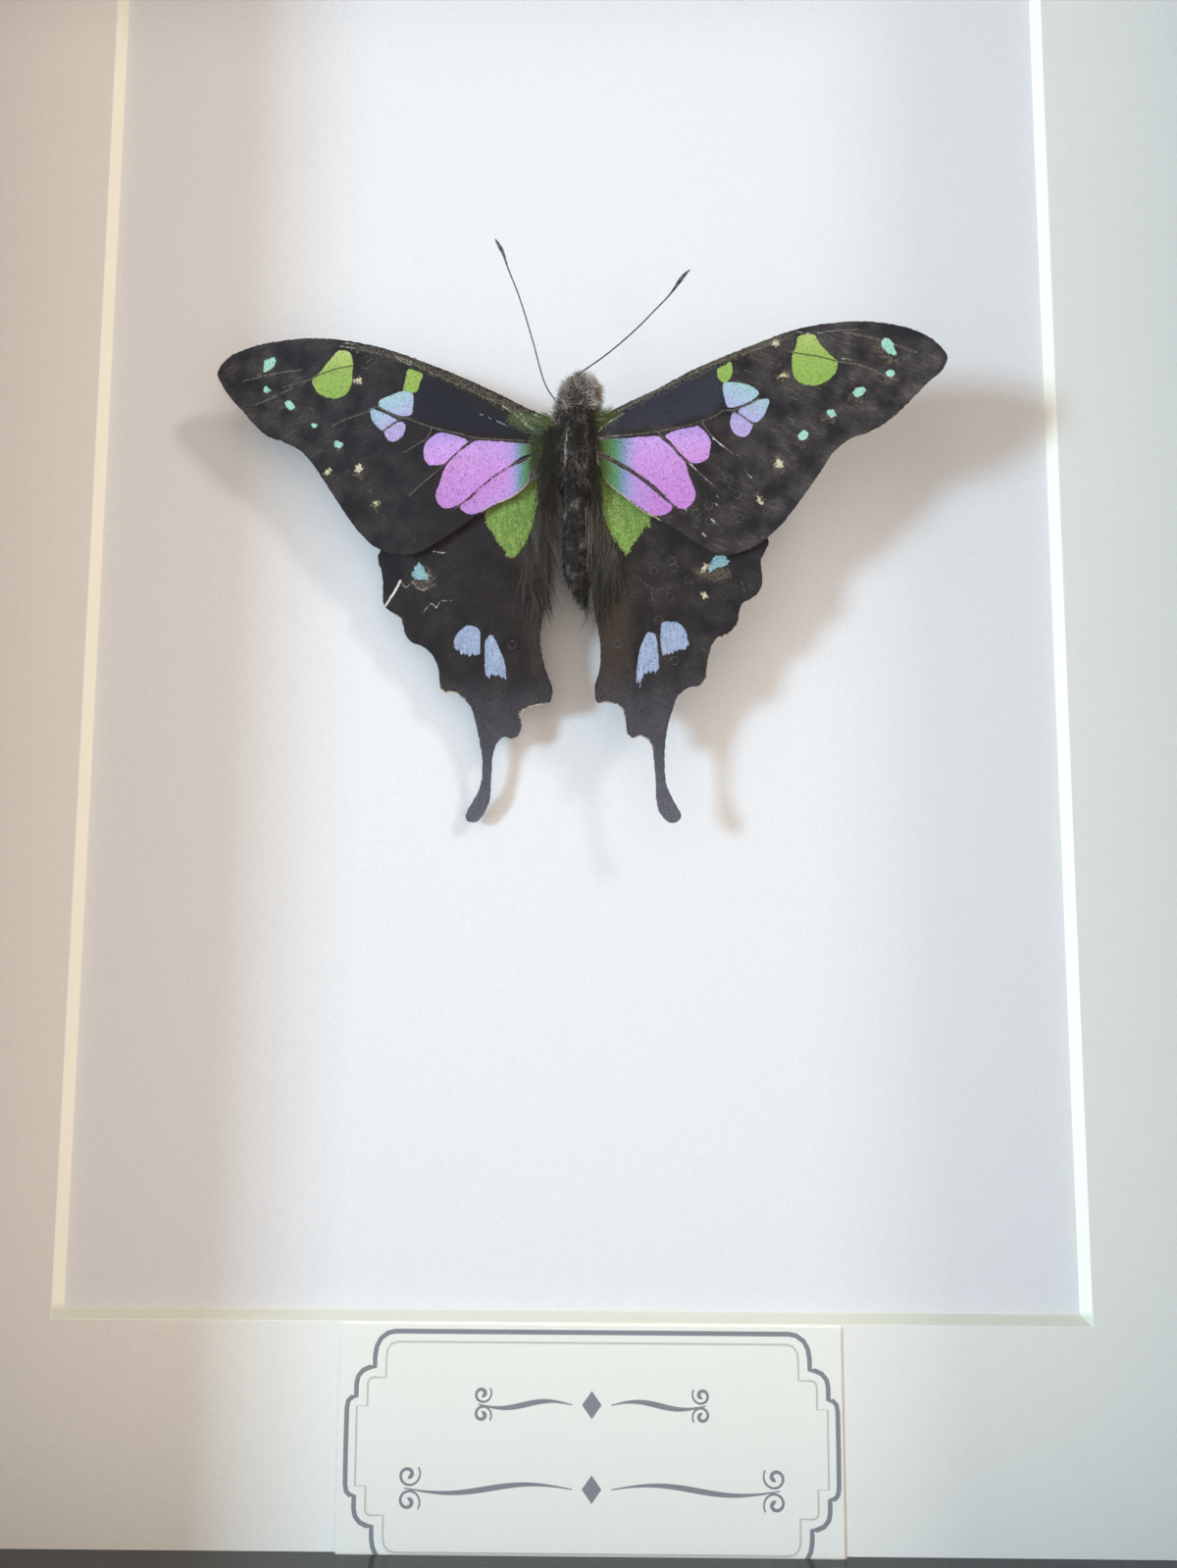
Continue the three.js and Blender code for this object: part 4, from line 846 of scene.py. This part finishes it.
def merged_copy(node, name):
    """A copy of a part of the solid model with its loose triangles joined."""
    bpy.ops.object.select_all(action="DESELECT")
    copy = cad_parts[node].copy()
    copy.data = copy.data.copy()
    copy.name = name
    copy.parent = None
    bpy.context.collection.objects.link(copy)
    bpy.context.view_layer.objects.active = copy
    copy.select_set(True)
    bpy.ops.object.mode_set(mode="EDIT")
    bpy.ops.mesh.select_all(action="SELECT")
    bpy.ops.mesh.remove_doubles(threshold=0.001 * MM)
    bpy.ops.object.mode_set(mode="OBJECT")
    return copy


def front_outline(node):
    """The edge of the face that a wing turns to the glass, in order, in millimetres from the pin."""
    solid = merged_copy(node, "outline")
    mesh = bmesh.new()
    mesh.from_mesh(solid.data)
    front = {f for f in mesh.faces if f.normal.y < FACES_GLASS}
    rim = [e for e in mesh.edges if len([f for f in e.link_faces if f in front]) == 1]
    follow = {}
    for edge in rim:
        for vert in edge.verts:
            follow.setdefault(vert, []).append(edge.other_vert(vert))
    first = vert = rim[0].verts[0]
    before, loop = None, []
    while vert is not first or before is None:
        loop.append((vert.co.x / MM - PIN[0], vert.co.z / MM - PIN[1]))
        after = next(v for v in follow[vert] if v is not before)
        before, vert = vert, after
    mesh.free()
    bpy.data.objects.remove(solid)
    return np.array(loop)


def lay_wing(name, marks):
    """Builds one wing as a dense sheet on its leaning plane, with its marks as attributes."""
    rim = rounded(front_outline(name), True, MESH_STEP)
    rim += chance.normal(0, RAGGED_RIM, rim.shape)
    ribs = [rounded(chain, False, MESH_STEP) for chain in marks.get("veins", []) + marks.get("folds", [])]
    low, high = rim.min(0), rim.max(0)
    across = np.arange(low[0], high[0], MESH_STEP)
    up = np.arange(low[1], high[1], MESH_STEP * ROW_PITCH)
    fill = np.array([(x + (row % 2) * MESH_STEP / 2, z) for row, z in enumerate(up) for x in across])
    fill = fill[inside(fill, rim)]
    clear = np.minimum(gap(fill, [rim], True), gap(fill, ribs)) > MESH_STEP * LINE_CLEARANCE
    flat, faces = sheet_mesh([rim], ribs, fill[clear])

    x, z = flat.T
    to_rib = gap(flat, ribs)
    to_edge = gap(flat, [rim], True)
    height, slope_x, slope_z = marks["lean"]
    plane = height + slope_x * x + slope_z * z
    ridge = RIDGE_HEIGHT * np.clip(1 - (to_rib / RIDGE_HALF_WIDTH) ** 2, 0, 1)
    sag = SAG * np.clip(np.minimum(to_rib, to_edge) / SAG_REACH, 0, 1)
    warp = sum(size * np.sin(a * x + b * z + start) for size, a, b, start in WARPS)
    warp *= np.clip(to_edge / WARP_FADE, 0, 1)
    lift = plane - SHEET_BEHIND + marks["relief"] * (ridge - sag) + warp
    place = np.stack([PIN[0] + x, CARD_FRONT - lift, PIN[1] + z], 1) * MM
    wing = new_mesh_object(name + "_scaled", place, faces.tolist())

    values = {kind: depth_in(flat, marks.get(kind, []), kind in SOFT_KINDS)
              for kind in SOFT_KINDS + SQUARE_KINDS}
    for kind in LINE_KINDS:
        values[kind] = gap(flat, [rounded(chain, False, LINE_STEP) for chain in marks.get(kind, [])])
    values["edge"] = to_edge
    values["wear"] = np.interp(np.hypot(x, z), WEAR_GROWS, marks["wear"])
    values["drop_glints"] = np.full(len(flat), FAR)
    for a, b in marks["drop_glints"]:
        values["drop_glints"] = np.minimum(values["drop_glints"], abs(np.hypot(x - a, z - b) - DROP_GLINT_RADIUS))
    # Only the forewings have patches whose colour turns, away from the root or along the dusk's way
    if "dusk" in marks:
        slope, start = marks["root"]
        values["root"] = slope * x + start
        dusk_x, dusk_z = marks["dusk"]
        outward = np.sign(dusk_x)
        values["dusk"] = -outward * DUSK_WAY[0] * (x - dusk_x) - DUSK_WAY[1] * (z - dusk_z)
    for kind, numbers in values.items():
        wing.data.attributes.new(kind, "FLOAT", "POINT").data.foreach_set("value", numbers)

    modify("SOLIDIFY", thickness=WING_SKIN * MM, offset=-1.0)
    bpy.ops.object.shade_smooth_by_angle(angle=SMOOTH_ANGLE)
    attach(wing, "root")
    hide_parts(name)
    return wing


# Wing scales: rows of dust-fine scales about 0.1 mm long. Pigment makes the black and green ones; the
# purple and blue ones shine a little. Each speckle in the colour stands for one or two scales. Where
# scales have rubbed off, the paler membrane shows as streaks along the veins.
STREAK_SLANT = math.radians(25)

scales, tree, shader = new_material("swallowtail_wing_scales", Roughness=0.65, Specular_IOR_Level=0.12,
                                    Sheen_Weight=0.04, Sheen_Roughness=0.4)
here = add_node(tree, "TexCoord").outputs["Object"]
rows = add_node(tree, "TexVoronoi", {"Vector": here, "Scale": 1 / (0.13 * MM)})
speckle = add_node(tree, "SeparateColor", {"Color": rows.outputs["Color"]})
grit = add_node(tree, "TexNoise", {"Vector": here, "Scale": 1 / (0.25 * MM), "Detail": 2.0})
drift = add_node(tree, "TexNoise", {"Vector": here, "Scale": 1 / (3 * MM), "Detail": 3.0})
patches = add_node(tree, "TexNoise", {"Vector": here, "Scale": 1 / (2.2 * MM), "Detail": 2.0})
upright = add_node(tree, "Mapping", {"Vector": here, "Scale": (1.0, 1.0, 0.14)})
combed = add_node(tree, "TexNoise", {"Vector": upright, "Scale": 1 / (0.22 * MM), "Detail": 2.0})
place = add_node(tree, "SeparateXYZ", {"Vector": here})
from_pin = add_node(tree, "Math", {0: place.outputs["X"], 1: PIN[0] * MM}, operation="SUBTRACT")
sideways = add_node(tree, "Math", {0: from_pin}, operation="ABSOLUTE")
folded = add_node(tree, "CombineXYZ", {"X": sideways, "Z": place.outputs["Z"]})
slanted = add_node(tree, "Mapping", {"Vector": folded, "Rotation": (0.0, STREAK_SLANT, 0.0),
                                     "Scale": (7.0, 1.0, 1.0)}, vector_type="TEXTURE")
streaks = add_node(tree, "TexNoise", {"Vector": slanted, "Scale": 1 / (0.22 * MM), "Detail": 3.0})


def share(source, low, high, strength=1.0, ragged=0.0, texture=None):
    """Nought at low, rising to the strength at high. A texture makes the edge of a mark soft and ragged.

    The source is a node, or the name of a kind of mark. Inside a patch its values are the depth, and for
    lines the distance, in millimetres."""
    ease = "LINEAR"
    if isinstance(source, str):
        source = add_node(tree, "Attribute", attribute_name=source).outputs["Fac"]
    if texture is not None:
        rough = add_node(tree, "MapRange", {"Value": texture, "From Min": 0.25, "From Max": 0.75,
                                            "To Min": -ragged, "To Max": ragged}, clamp=False)
        source = add_node(tree, "Math", {0: source, 1: rough})
        ease = "SMOOTHSTEP"
    return add_node(tree, "MapRange", {"Value": source, "From Min": low, "From Max": high,
                                       "To Max": strength}, interpolation_type=ease)


def at_height(low, high, strength=1.0):
    """A share that rises between two heights from the pin, in millimetres."""
    return share(place.outputs["Z"], (PIN[1] + low) * MM, (PIN[1] + high) * MM, strength)


black = add_node(tree, "ValToRGB", {"Fac": drift}, [(0.3, "1e1817"), (0.55, "261f1e"), (0.8, "302927")])
orchid = add_node(tree, "ValToRGB", {"Fac": at_height(-7, 3)},
                  [(0.1, "c486d0"), (0.55, "cd96da"), (0.72, "cd9fe0"), (0.88, "b69bdb")])
root_tint = add_node(tree, "ValToRGB", {"Fac": share("root", -0.4, 3.7)},
                     [(0.08, "444c2c"), (0.26, "56773f"), (0.4, "5f8f70"), (0.56, "8797bd"),
                      (0.8, "ae9cd4")])
leaf = add_node(tree, "ValToRGB", {"Fac": combed}, [(0.3, "688540"), (0.5, "769446"), (0.7, "88a655")])
green = add_node(tree, "ValToRGB", {"Fac": at_height(5, 11)},
                 [(0.0, "8db152"), (0.6, "9cb65e"), (0.95, "b8c878")])
twilight = add_node(tree, "ValToRGB", {"Fac": share("dusk", -1.8, 2.2)},
                    [(0.05, "a3c6cb"), (0.3, "a8bfd2"), (0.62, "b2b3d8"), (0.95, "baa9d9")])
blue = add_node(tree, "ValToRGB", {"Fac": combed}, [(0.3, "929fbc"), (0.5, "9dabc6"), (0.7, "abb9d0")])
violet = share("violet", -0.05, 0.05, 1.0, 0.04, grit)
frayed_blue = add_node(tree, "Math", {0: share("blue", -0.05, 0.05, 1.0, 0.06, grit),
                                      1: share("fray", 0.28, 0.112, 1.0, 0.28, combed)},
                       operation="SUBTRACT", use_clamp=True)

# Each paint and its share: source, where it is nought, where it is whole, strength, ragged edge, texture
painted = black
for paint, part in (
    # the black ground and its worn places
    ("232228", share(sideways, 6 * MM, 20 * MM, 0.7)),
    ("57524f", share(patches, 0.35, 0.7, share("wear", 0, 1, 0.75))),
    ("857b70", share(streaks, 0.5, 0.7, share(patches, 0.42, 0.62, share("wear", 0, 1, 0.42)))),
    ("1f202a", share("cell", -0.5, 0.5, 0.92, 0.3, grit)),
    ("454755", share("cell", -0.5, 0.5, share("wear", 0, 1, 0.7), 0.3, drift)),
    ("42372e", share("brown", -0.9, 0.9, 0.85, 0.9, combed)),
    ("6a6973", at_height(-22, -37, 0.85)),
    ("615c4c", share("strip", -0.1, 0.1, share(grit, 0.3, 0.6, 0.9), 0.2, speckle)),
    ("4d5a36", share("moss", -0.5, 0.5, 1.0, 0.5, grit)),
    ("6b5e4f", share("tan", -0.3, 0.3, share(grit, 0.35, 0.6, 0.8), 0.35, grit)),
    ("7d7264", share("veins", 0.12, 0.048, share(grit, 0.35, 0.6, 0.75), 0.05, grit)),
    # the coloured patches
    (leaf, share("leaf", -0.09, 0.09, 1.0, 0.22, grit)),
    ("bcc48c", share("leaf", -0.3, 0.3, share(speckle, 0.78, 0.92, 0.35), 0.3, grit)),
    (green, share("green", -0.05, 0.05, 1.0, 0.05, grit)),
    (orchid, violet),
    ("ab9fd8", share("cool", -0.9, 0.9, share(violet, 0, 1, 0.4), 0.3, grit)),
    (root_tint, share("root", 2.9, 1.8, violet)),
    (twilight, share("sky", -0.05, 0.05, 1.0, 0.04, grit)),
    ("a2d6c2", share("mint", -0.05, 0.05, 1.0, 0.08, grit)),
    ("8fb8bd", share("cyan", -0.09, 0.09, 1.0, 0.16, grit)),
    ("cfc8a8", share("cream", -0.1, 0.1, 1.0, 0.22, grit)),
    (blue, frayed_blue),
    # what crosses them
    ("2d2926", share("veins", 0.07, 0.028, share("violet", -0.05, 0.05, 0.9, 0.0, grit), 0.02, grit)),
    ("2d2926", share("veins", 0.1, 0.04, share("green", -0.05, 0.05, 0.8, 0.0, grit), 0.02, grit)),
    ("2d2926", share("veins", 0.1, 0.04, share("sky", -0.05, 0.05, 0.9, 0.0, grit), 0.02, grit)),
    ("cdd0c0", share("flecks", 0.09, 0.036, share(grit, 0.36, 0.54, 0.85), 0.05, grit)),
    ("ece9e3", share("tears", 0.16, 0.064, 0.95, 0.05, grit)),
    ("d6d1c8", share("cuts", 0.09, 0.036, 0.85, 0.05, grit)),
    ("8d8a86", share("scratches", 0.08, 0.032, share(grit, 0.35, 0.6, 0.75), 0.05, grit)),
    # painted glints: a pale ring round the rim of each drop
    ("8d8b8b", share("drop_glints", 0.08, 0.032, share(grit, 0.3, 0.6, 0.4), 0.03, grit)),
    ("d8c7a8", share("hem", 0.7, 0.28, share("edge", 0.11, 0.044, 0.85, 0.05, speckle), 0.1, grit)),
):
    paint = linear(paint) if isinstance(paint, str) else paint
    painted = add_node(tree, "Mix", {"Factor": part, "A": painted, "B": paint}, data_type="RGBA")
grain = add_node(tree, "MapRange", {"Value": speckle, "To Min": 0.8, "To Max": 1.16})
grained = add_node(tree, "Mix", {"Factor": 1.0, "A": painted, "B": grain}, data_type="RGBA",
                   blend_type="MULTIPLY")
odd_scale = add_node(tree, "Math", {0: speckle, 1: 0.965}, operation="GREATER_THAN")
flecked = add_node(tree, "Mix", {"Factor": odd_scale, "A": grained, "B": linear("b5adb3")},
                   data_type="RGBA", blend_type="MULTIPLY")
bump = add_node(tree, "Bump", {"Height": rows, "Distance": 0.02 * MM, "Strength": 0.4})
connect(shader, {"Base Color": flecked, "Normal": bump})

for name, marks in WINGS.items():
    lay_wing(name, marks).data.materials.append(scales)

# Body: head, thorax and abdomen grown as one, of dark chitin. Its skin is lumpy with tufts of scales
# about 1.3 mm across, and some of them are pale.
body = merged_copy("body", "body_skin")
lumps = bpy.data.textures.new("scale_lumps", "CLOUDS")
lumps.noise_scale = 1.3 * MM
modify("SUBSURF", levels=3, render_levels=3)
modify("DISPLACE", texture=lumps, texture_coords="LOCAL", strength=0.55 * MM)
bpy.ops.object.shade_smooth()

chitin, tree, shader = new_material("scaled_dark_chitin", Roughness=0.75, Specular_IOR_Level=0.15)
here = add_node(tree, "TexCoord").outputs["Object"]
clump = add_node(tree, "TexNoise", {"Vector": here, "Scale": 1 / (1.1 * MM), "Detail": 3.0})
dust = add_node(tree, "TexNoise", {"Vector": here, "Scale": 1 / (0.2 * MM), "Detail": 2.0})
tone = add_node(tree, "ValToRGB", {"Fac": clump},
                [(0.35, "1c1917"), (0.5, "2b2725"), (0.6, "4b4744"), (0.7, "807c77")])
bump = add_node(tree, "Bump", {"Height": dust, "Distance": 0.08 * MM})
connect(shader, {"Base Color": tone, "Normal": bump})
body.data.materials.clear()
body.data.materials.append(chitin)
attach(body, "root")
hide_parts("body")

# Antennae: thin stems of dark horn with rings about 0.7 mm apart, each ending in a small club. They are
# trimmed, because the solids are thicker than the real ones.
STEM_TRIM = 0.035 * MM
ringed_horn, tree, shader = new_material("ringed_horn", Roughness=0.5, Specular_IOR_Level=0.4)
here = add_node(tree, "TexCoord").outputs["Object"]
rings = add_node(tree, "TexWave", {"Vector": here, "Scale": 1 / (2.2 * MM), "Distortion": 0.6},
                 bands_direction="Z")
tone = add_node(tree, "ValToRGB", {"Fac": rings.outputs["Fac"]}, [(0.2, "3a3735"), (0.8, "6b6662")])
connect(shader, {"Base Color": tone})
for side in ("left", "right"):
    stem = merged_copy(f"antenna_{side}", f"antenna_{side}_ringed")
    modify("SUBSURF", levels=1, render_levels=1)
    modify("DISPLACE", strength=-STEM_TRIM, mid_level=0.0)
    bpy.ops.object.shade_smooth()
    stem.data.materials.clear()
    stem.data.materials.append(ringed_horn)
    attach(stem, "root")
    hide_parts(f"antenna_{side}")

# Hair: an upright grey-brown brush on the head, short combed hair on the thorax and abdomen, green down
# on the wing roots, and long brown hair along the inner edges of the hindwings.

# A hair's radius, and where its rings of points stand: shares of its length and of its radius
HAIR_RADIUS = 0.026
HAIR_RINGS = [(0.0, 1.0), (0.4, 0.85), (0.75, 0.55)]
# Hair on the body grows in clumps of this size, which lean, grow longer and are paler together
CLUMP_SIZE = 0.9
CLUMP_LEAN = (0.6, 0.0, 0.24)
CLUMP_LENGTH = 0.5
CLUMP_TONE = 0.38
# How deep a hair is rooted, how it bends with the comb and of itself, and how much painted shade darkens
# it on the side turned to the card
ROOT_DEPTH = 0.05
COMB_BEND = 0.2
OWN_BEND = 0.12
BACK_SHADE = 0.2
# The head's right side turns tan between these places across from the pin
TAN_SIDE = (0.8, 1.5)
# How freely hair that lies on a wing strays and bends across, away from the wing and up
LYING_STRAY = (1, 0.25, 1)
LYING_BEND = (0.1, 0.03, 0.04)
LYING_STEP = 0.2

hair_stuff, tree, shader = new_material("butterfly_hair", Roughness=0.6, Specular_IOR_Level=0.2)
tone = add_node(tree, "Attribute", attribute_name="tone").outputs["Fac"]
down = add_node(tree, "Attribute", attribute_name="down").outputs["Fac"]
brown_hair = add_node(tree, "ValToRGB", {"Fac": tone},
                      [(0.0, "1a1615"), (0.35, "40372f"), (0.6, "7c736c"), (0.8, "b0a492"),
                       (1.0, "dedbd7")])
green_hair = add_node(tree, "ValToRGB", {"Fac": tone},
                      [(0.0, "2c3320"), (0.4, "52683a"), (0.7, "7f9457"), (1.0, "c9c48c")])
either = add_node(tree, "Mix", {"Factor": down, "A": brown_hair, "B": green_hair}, data_type="RGBA")
connect(shader, {"Base Color": either})


def grow(name, roots, ways, lengths, bends, tones, downs, radius=HAIR_RADIUS):
    """One mesh of tapered, bent, three-sided hairs. Roots and lengths in millimetres."""
    ways = ways / np.linalg.norm(ways, axis=1)[:, None]
    aside = np.cross(ways, chance.normal(size=ways.shape))
    aside /= np.linalg.norm(aside, axis=1)[:, None]
    across = np.cross(ways, aside)
    turns = (np.arange(3) * 2 * math.pi / 3)[None, :, None]
    round_hair = np.cos(turns) * aside[:, None] + np.sin(turns) * across[:, None]
    rings = []
    for along, thick in HAIR_RINGS:
        middle = roots + lengths[:, None] * (ways * along + bends * along ** 2)
        rings.append(middle[:, None] + radius * thick * round_hair)
    tip = roots + lengths[:, None] * (ways + bends)
    points = np.concatenate([*rings, tip[:, None]], 1)
    count, size = points.shape[:2]
    strip = [(a + i, a + (i + 1) % 3, a + 3 + (i + 1) % 3, a + 3 + i) for a in (0, 3) for i in range(3)]
    cap = [(6 + i, 6 + (i + 1) % 3, 9) for i in range(3)]
    first = np.arange(count)[:, None, None] * size
    sides = (first + np.array(strip)).reshape(-1, 4).tolist()
    caps = (first + np.array(cap)).reshape(-1, 3).tolist()
    made = new_mesh_object(name, points.reshape(-1, 3) * MM, sides + caps)
    for kind, numbers in (("tone", tones), ("down", downs)):
        attribute = made.data.attributes.new(kind, "FLOAT", "POINT")
        attribute.data.foreach_set("value", np.repeat(numbers, size))
    bpy.ops.object.mode_set(mode="EDIT")
    bpy.ops.mesh.select_all(action="SELECT")
    bpy.ops.mesh.normals_make_consistent(inside=False)
    bpy.ops.object.mode_set(mode="OBJECT")
    bpy.ops.object.shade_smooth()
    made.data.materials.append(hair_stuff)
    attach(made, "root")


def on_skin(count, low, high):
    """Points and outward directions on the body between two heights from the pin."""
    mesh = body.data
    mesh.calc_loop_triangles()
    corners = np.array([[mesh.vertices[v].co for v in t.vertices] for t in mesh.loop_triangles]) / MM
    level = corners[:, :, 2].mean(1) - PIN[1]
    corners = corners[(level > low) & (level < high)]
    out = np.cross(corners[:, 1] - corners[:, 0], corners[:, 2] - corners[:, 0])
    area = np.linalg.norm(out, axis=1)
    chosen = chance.choice(len(corners), count, p=area / area.sum())
    a, b = chance.random((2, count, 1))
    a, b = np.where(a + b > 1, 1 - a, a), np.where(a + b > 1, 1 - b, b)
    tri = corners[chosen]
    points = tri[:, 0] + a * (tri[:, 1] - tri[:, 0]) + b * (tri[:, 2] - tri[:, 0])
    return points, out[chosen] / area[chosen][:, None]


def coat(name, count, low, high, lengths, comb, stray, tones, tan_side=0.0):
    """Hair over one part of the body, leaning the way it is combed. It grows in clumps, pale and dark."""
    roots, out = on_skin(count, low, high)
    clump = np.array([noise.noise(Vector(point) / CLUMP_SIZE) for point in roots])
    ways = out + np.array(comb) + chance.normal(0, stray, out.shape) + clump[:, None] * CLUMP_LEAN
    tan = tan_side * np.interp(roots[:, 0] - PIN[0], TAN_SIDE, (0, 1))
    # Painted shade: hair on the side of the body turned to the card is darker
    tone = chance.uniform(*tones, count) + CLUMP_TONE * clump - BACK_SHADE * (1 + out[:, 1]) + tan
    lengths = chance.uniform(*lengths, count) * (1 + CLUMP_LENGTH * clump)
    bends = COMB_BEND * np.array(comb) + chance.normal(0, OWN_BEND, out.shape)
    grow(name, roots - out * ROOT_DEPTH, ways, lengths, bends, np.clip(tone, 0, 1), np.zeros(count))


coat("head_brush", 2400, 3.4, 8.0, lengths=(0.4, 0.9), comb=(0.0, -0.1, 0.0), stray=0.28,
     tones=(0.6, 0.98), tan_side=0.25)
coat("thorax_hair", 2600, -4.0, 3.8, lengths=(0.5, 1.0), comb=(0.0, 0.0, -0.75), stray=0.35,
     tones=(0.2, 0.64))
coat("abdomen_hair", 2400, -16.0, -3.8, lengths=(0.3, 0.65), comb=(0.0, 0.0, -1.1), stray=0.4,
     tones=(0.05, 0.5))


def lie_on_wing(name, count, line, spread, way, stray, lengths, lean, lift, tones, downs,
                radius=HAIR_RADIUS):
    """Hair rooted along a line on a wing and lying on it. Places as (across, up) from the pin."""
    line = rounded(line, False, LYING_STEP)
    at = line[chance.integers(0, len(line), count)] + chance.normal(0, 1, (count, 2)) * np.array(spread)
    height, slope_x, slope_z = lean
    above = height + slope_x * at[:, 0] + slope_z * at[:, 1] + chance.uniform(*lift, count)
    roots = np.stack([PIN[0] + at[:, 0], CARD_FRONT - above, PIN[1] + at[:, 1]], 1)
    down_wing = np.array([way[0], -slope_x * way[0] - slope_z * way[1], way[1]])
    ways = down_wing + chance.normal(0, 1, roots.shape) * (stray * np.array(LYING_STRAY))
    bends = chance.normal(0, 1, roots.shape) * LYING_BEND
    grow(name, roots, ways, chance.uniform(*lengths, count), bends, chance.uniform(*tones, count),
         chance.uniform(*downs, count), radius)


lie_on_wing("hindwing_hair_left", 1100,
            [(-2.8, -2.6), (-3.1, -5), (-3.6, -7.4), (-4.3, -9.4), (-5.2, -11.2)],
            spread=(0.28, 0.5), way=(0.13, -1), stray=0.12, lengths=(2.4, 5.4),
            lean=LEFT_HINDWING_LEAN, lift=(0.0, 0.3), tones=(0.12, 0.6), downs=(0.0, 0.12))
lie_on_wing("hindwing_hair_right", 1100,
            [(1.9, -3), (2.1, -5.6), (2.5, -7.6), (3.2, -9.4), (4.1, -11.2)],
            spread=(0.25, 0.5), way=(-0.08, -1), stray=0.12, lengths=(2.4, 5.6),
            lean=RIGHT_HINDWING_LEAN, lift=(0.0, 0.3), tones=(0.12, 0.6), downs=(0.0, 0.14))
lie_on_wing("hindwing_fringe_left", 500, [(-3.1, -9.5), (-3.3, -12), (-3.4, -14.5)],
            spread=(0.45, 0.6), way=(0.12, -1), stray=0.13, lengths=(1.6, 3.8),
            lean=LEFT_HINDWING_LEAN, lift=(0.0, 0.3), tones=(0.1, 0.55), downs=(0.0, 0.1))
lie_on_wing("hindwing_fringe_right", 500, [(2.4, -9.5), (2.7, -12), (2.8, -15)],
            spread=(0.5, 0.6), way=(-0.1, -1), stray=0.13, lengths=(1.6, 3.8),
            lean=RIGHT_HINDWING_LEAN, lift=(0.0, 0.3), tones=(0.1, 0.55), downs=(0.0, 0.2))
lie_on_wing("root_fur_left", 1300, [(-2.3, 1.9), (-2.5, 0), (-2.7, -2), (-2.8, -4.4)],
            spread=(0.42, 0.4), way=(-0.02, -1), stray=0.2, lengths=(1.2, 3.0),
            lean=LEAN, lift=(-0.3, 0.45), tones=(0.0, 0.38), downs=(0.0, 0.12))
lie_on_wing("root_fur_right", 1000, [(1.75, 3.3), (1.75, 1), (1.65, -1), (1.7, -4.5)],
            spread=(0.15, 0.3), way=(0.1, -1), stray=0.22, lengths=(0.8, 1.9),
            lean=LEAN, lift=(-0.4, 0.3), tones=(0.0, 0.42), downs=(0.0, 0.3))
lie_on_wing("root_down_left", 200, [(-2.2, 2.6), (-3, 2.5), (-3.9, 2.3)],
            spread=(0.3, 0.35), way=(-1, 0.4), stray=0.3, lengths=(0.5, 1.4),
            lean=LEAN, lift=(-0.1, 0.2), tones=(0.1, 0.95), downs=(0.7, 1.0))
lie_on_wing("root_down_right", 200, [(1.3, 2.3), (2.1, 2.7), (3, 3.1)],
            spread=(0.3, 0.25), way=(1, 0.5), stray=0.25, lengths=(0.5, 1.4),
            lean=LEAN, lift=(-0.1, 0.2), tones=(0.1, 0.9), downs=(0.7, 1.0))
lie_on_wing("root_moss_left", 520, [(-3.5, 1.4), (-3.6, 0), (-3.6, -1.6)],
            spread=(0.3, 0.3), way=(-0.5, -0.8), stray=0.3, lengths=(0.6, 1.3),
            lean=LEAN, lift=(-0.15, 0.3), tones=(0.05, 0.6), downs=(0.55, 0.9))
# A few long pale strands beside the abdomen
lie_on_wing("pale_strands", 9, [(1.2, -5.8), (1.5, -7.8)],
            spread=(0.14, 0.6), way=(0.02, -1), stray=0.05, lengths=(2.5, 6.0),
            lean=(7.0, 0.0, 0.12), lift=(0.0, 0.3), tones=(0.75, 0.92), downs=(0.0, 0.2),
            radius=0.014)
# Painted highlight on the thorax: a few white scales laid flat along its middle stand for the gloss on the
# black chitin
lie_on_wing("thorax_painted_highlight", 20, [(-0.85, 0.6), (-0.95, -0.8), (-0.95, -2.2)],
            spread=(0.05, 0.15), way=(0.0, -1), stray=0.15, lengths=(0.2, 0.5),
            lean=(8.25, 0.0, 0.06), lift=(0.0, 0.12), tones=(0.85, 1.0), downs=(0.0, 0.0),
            radius=0.035)
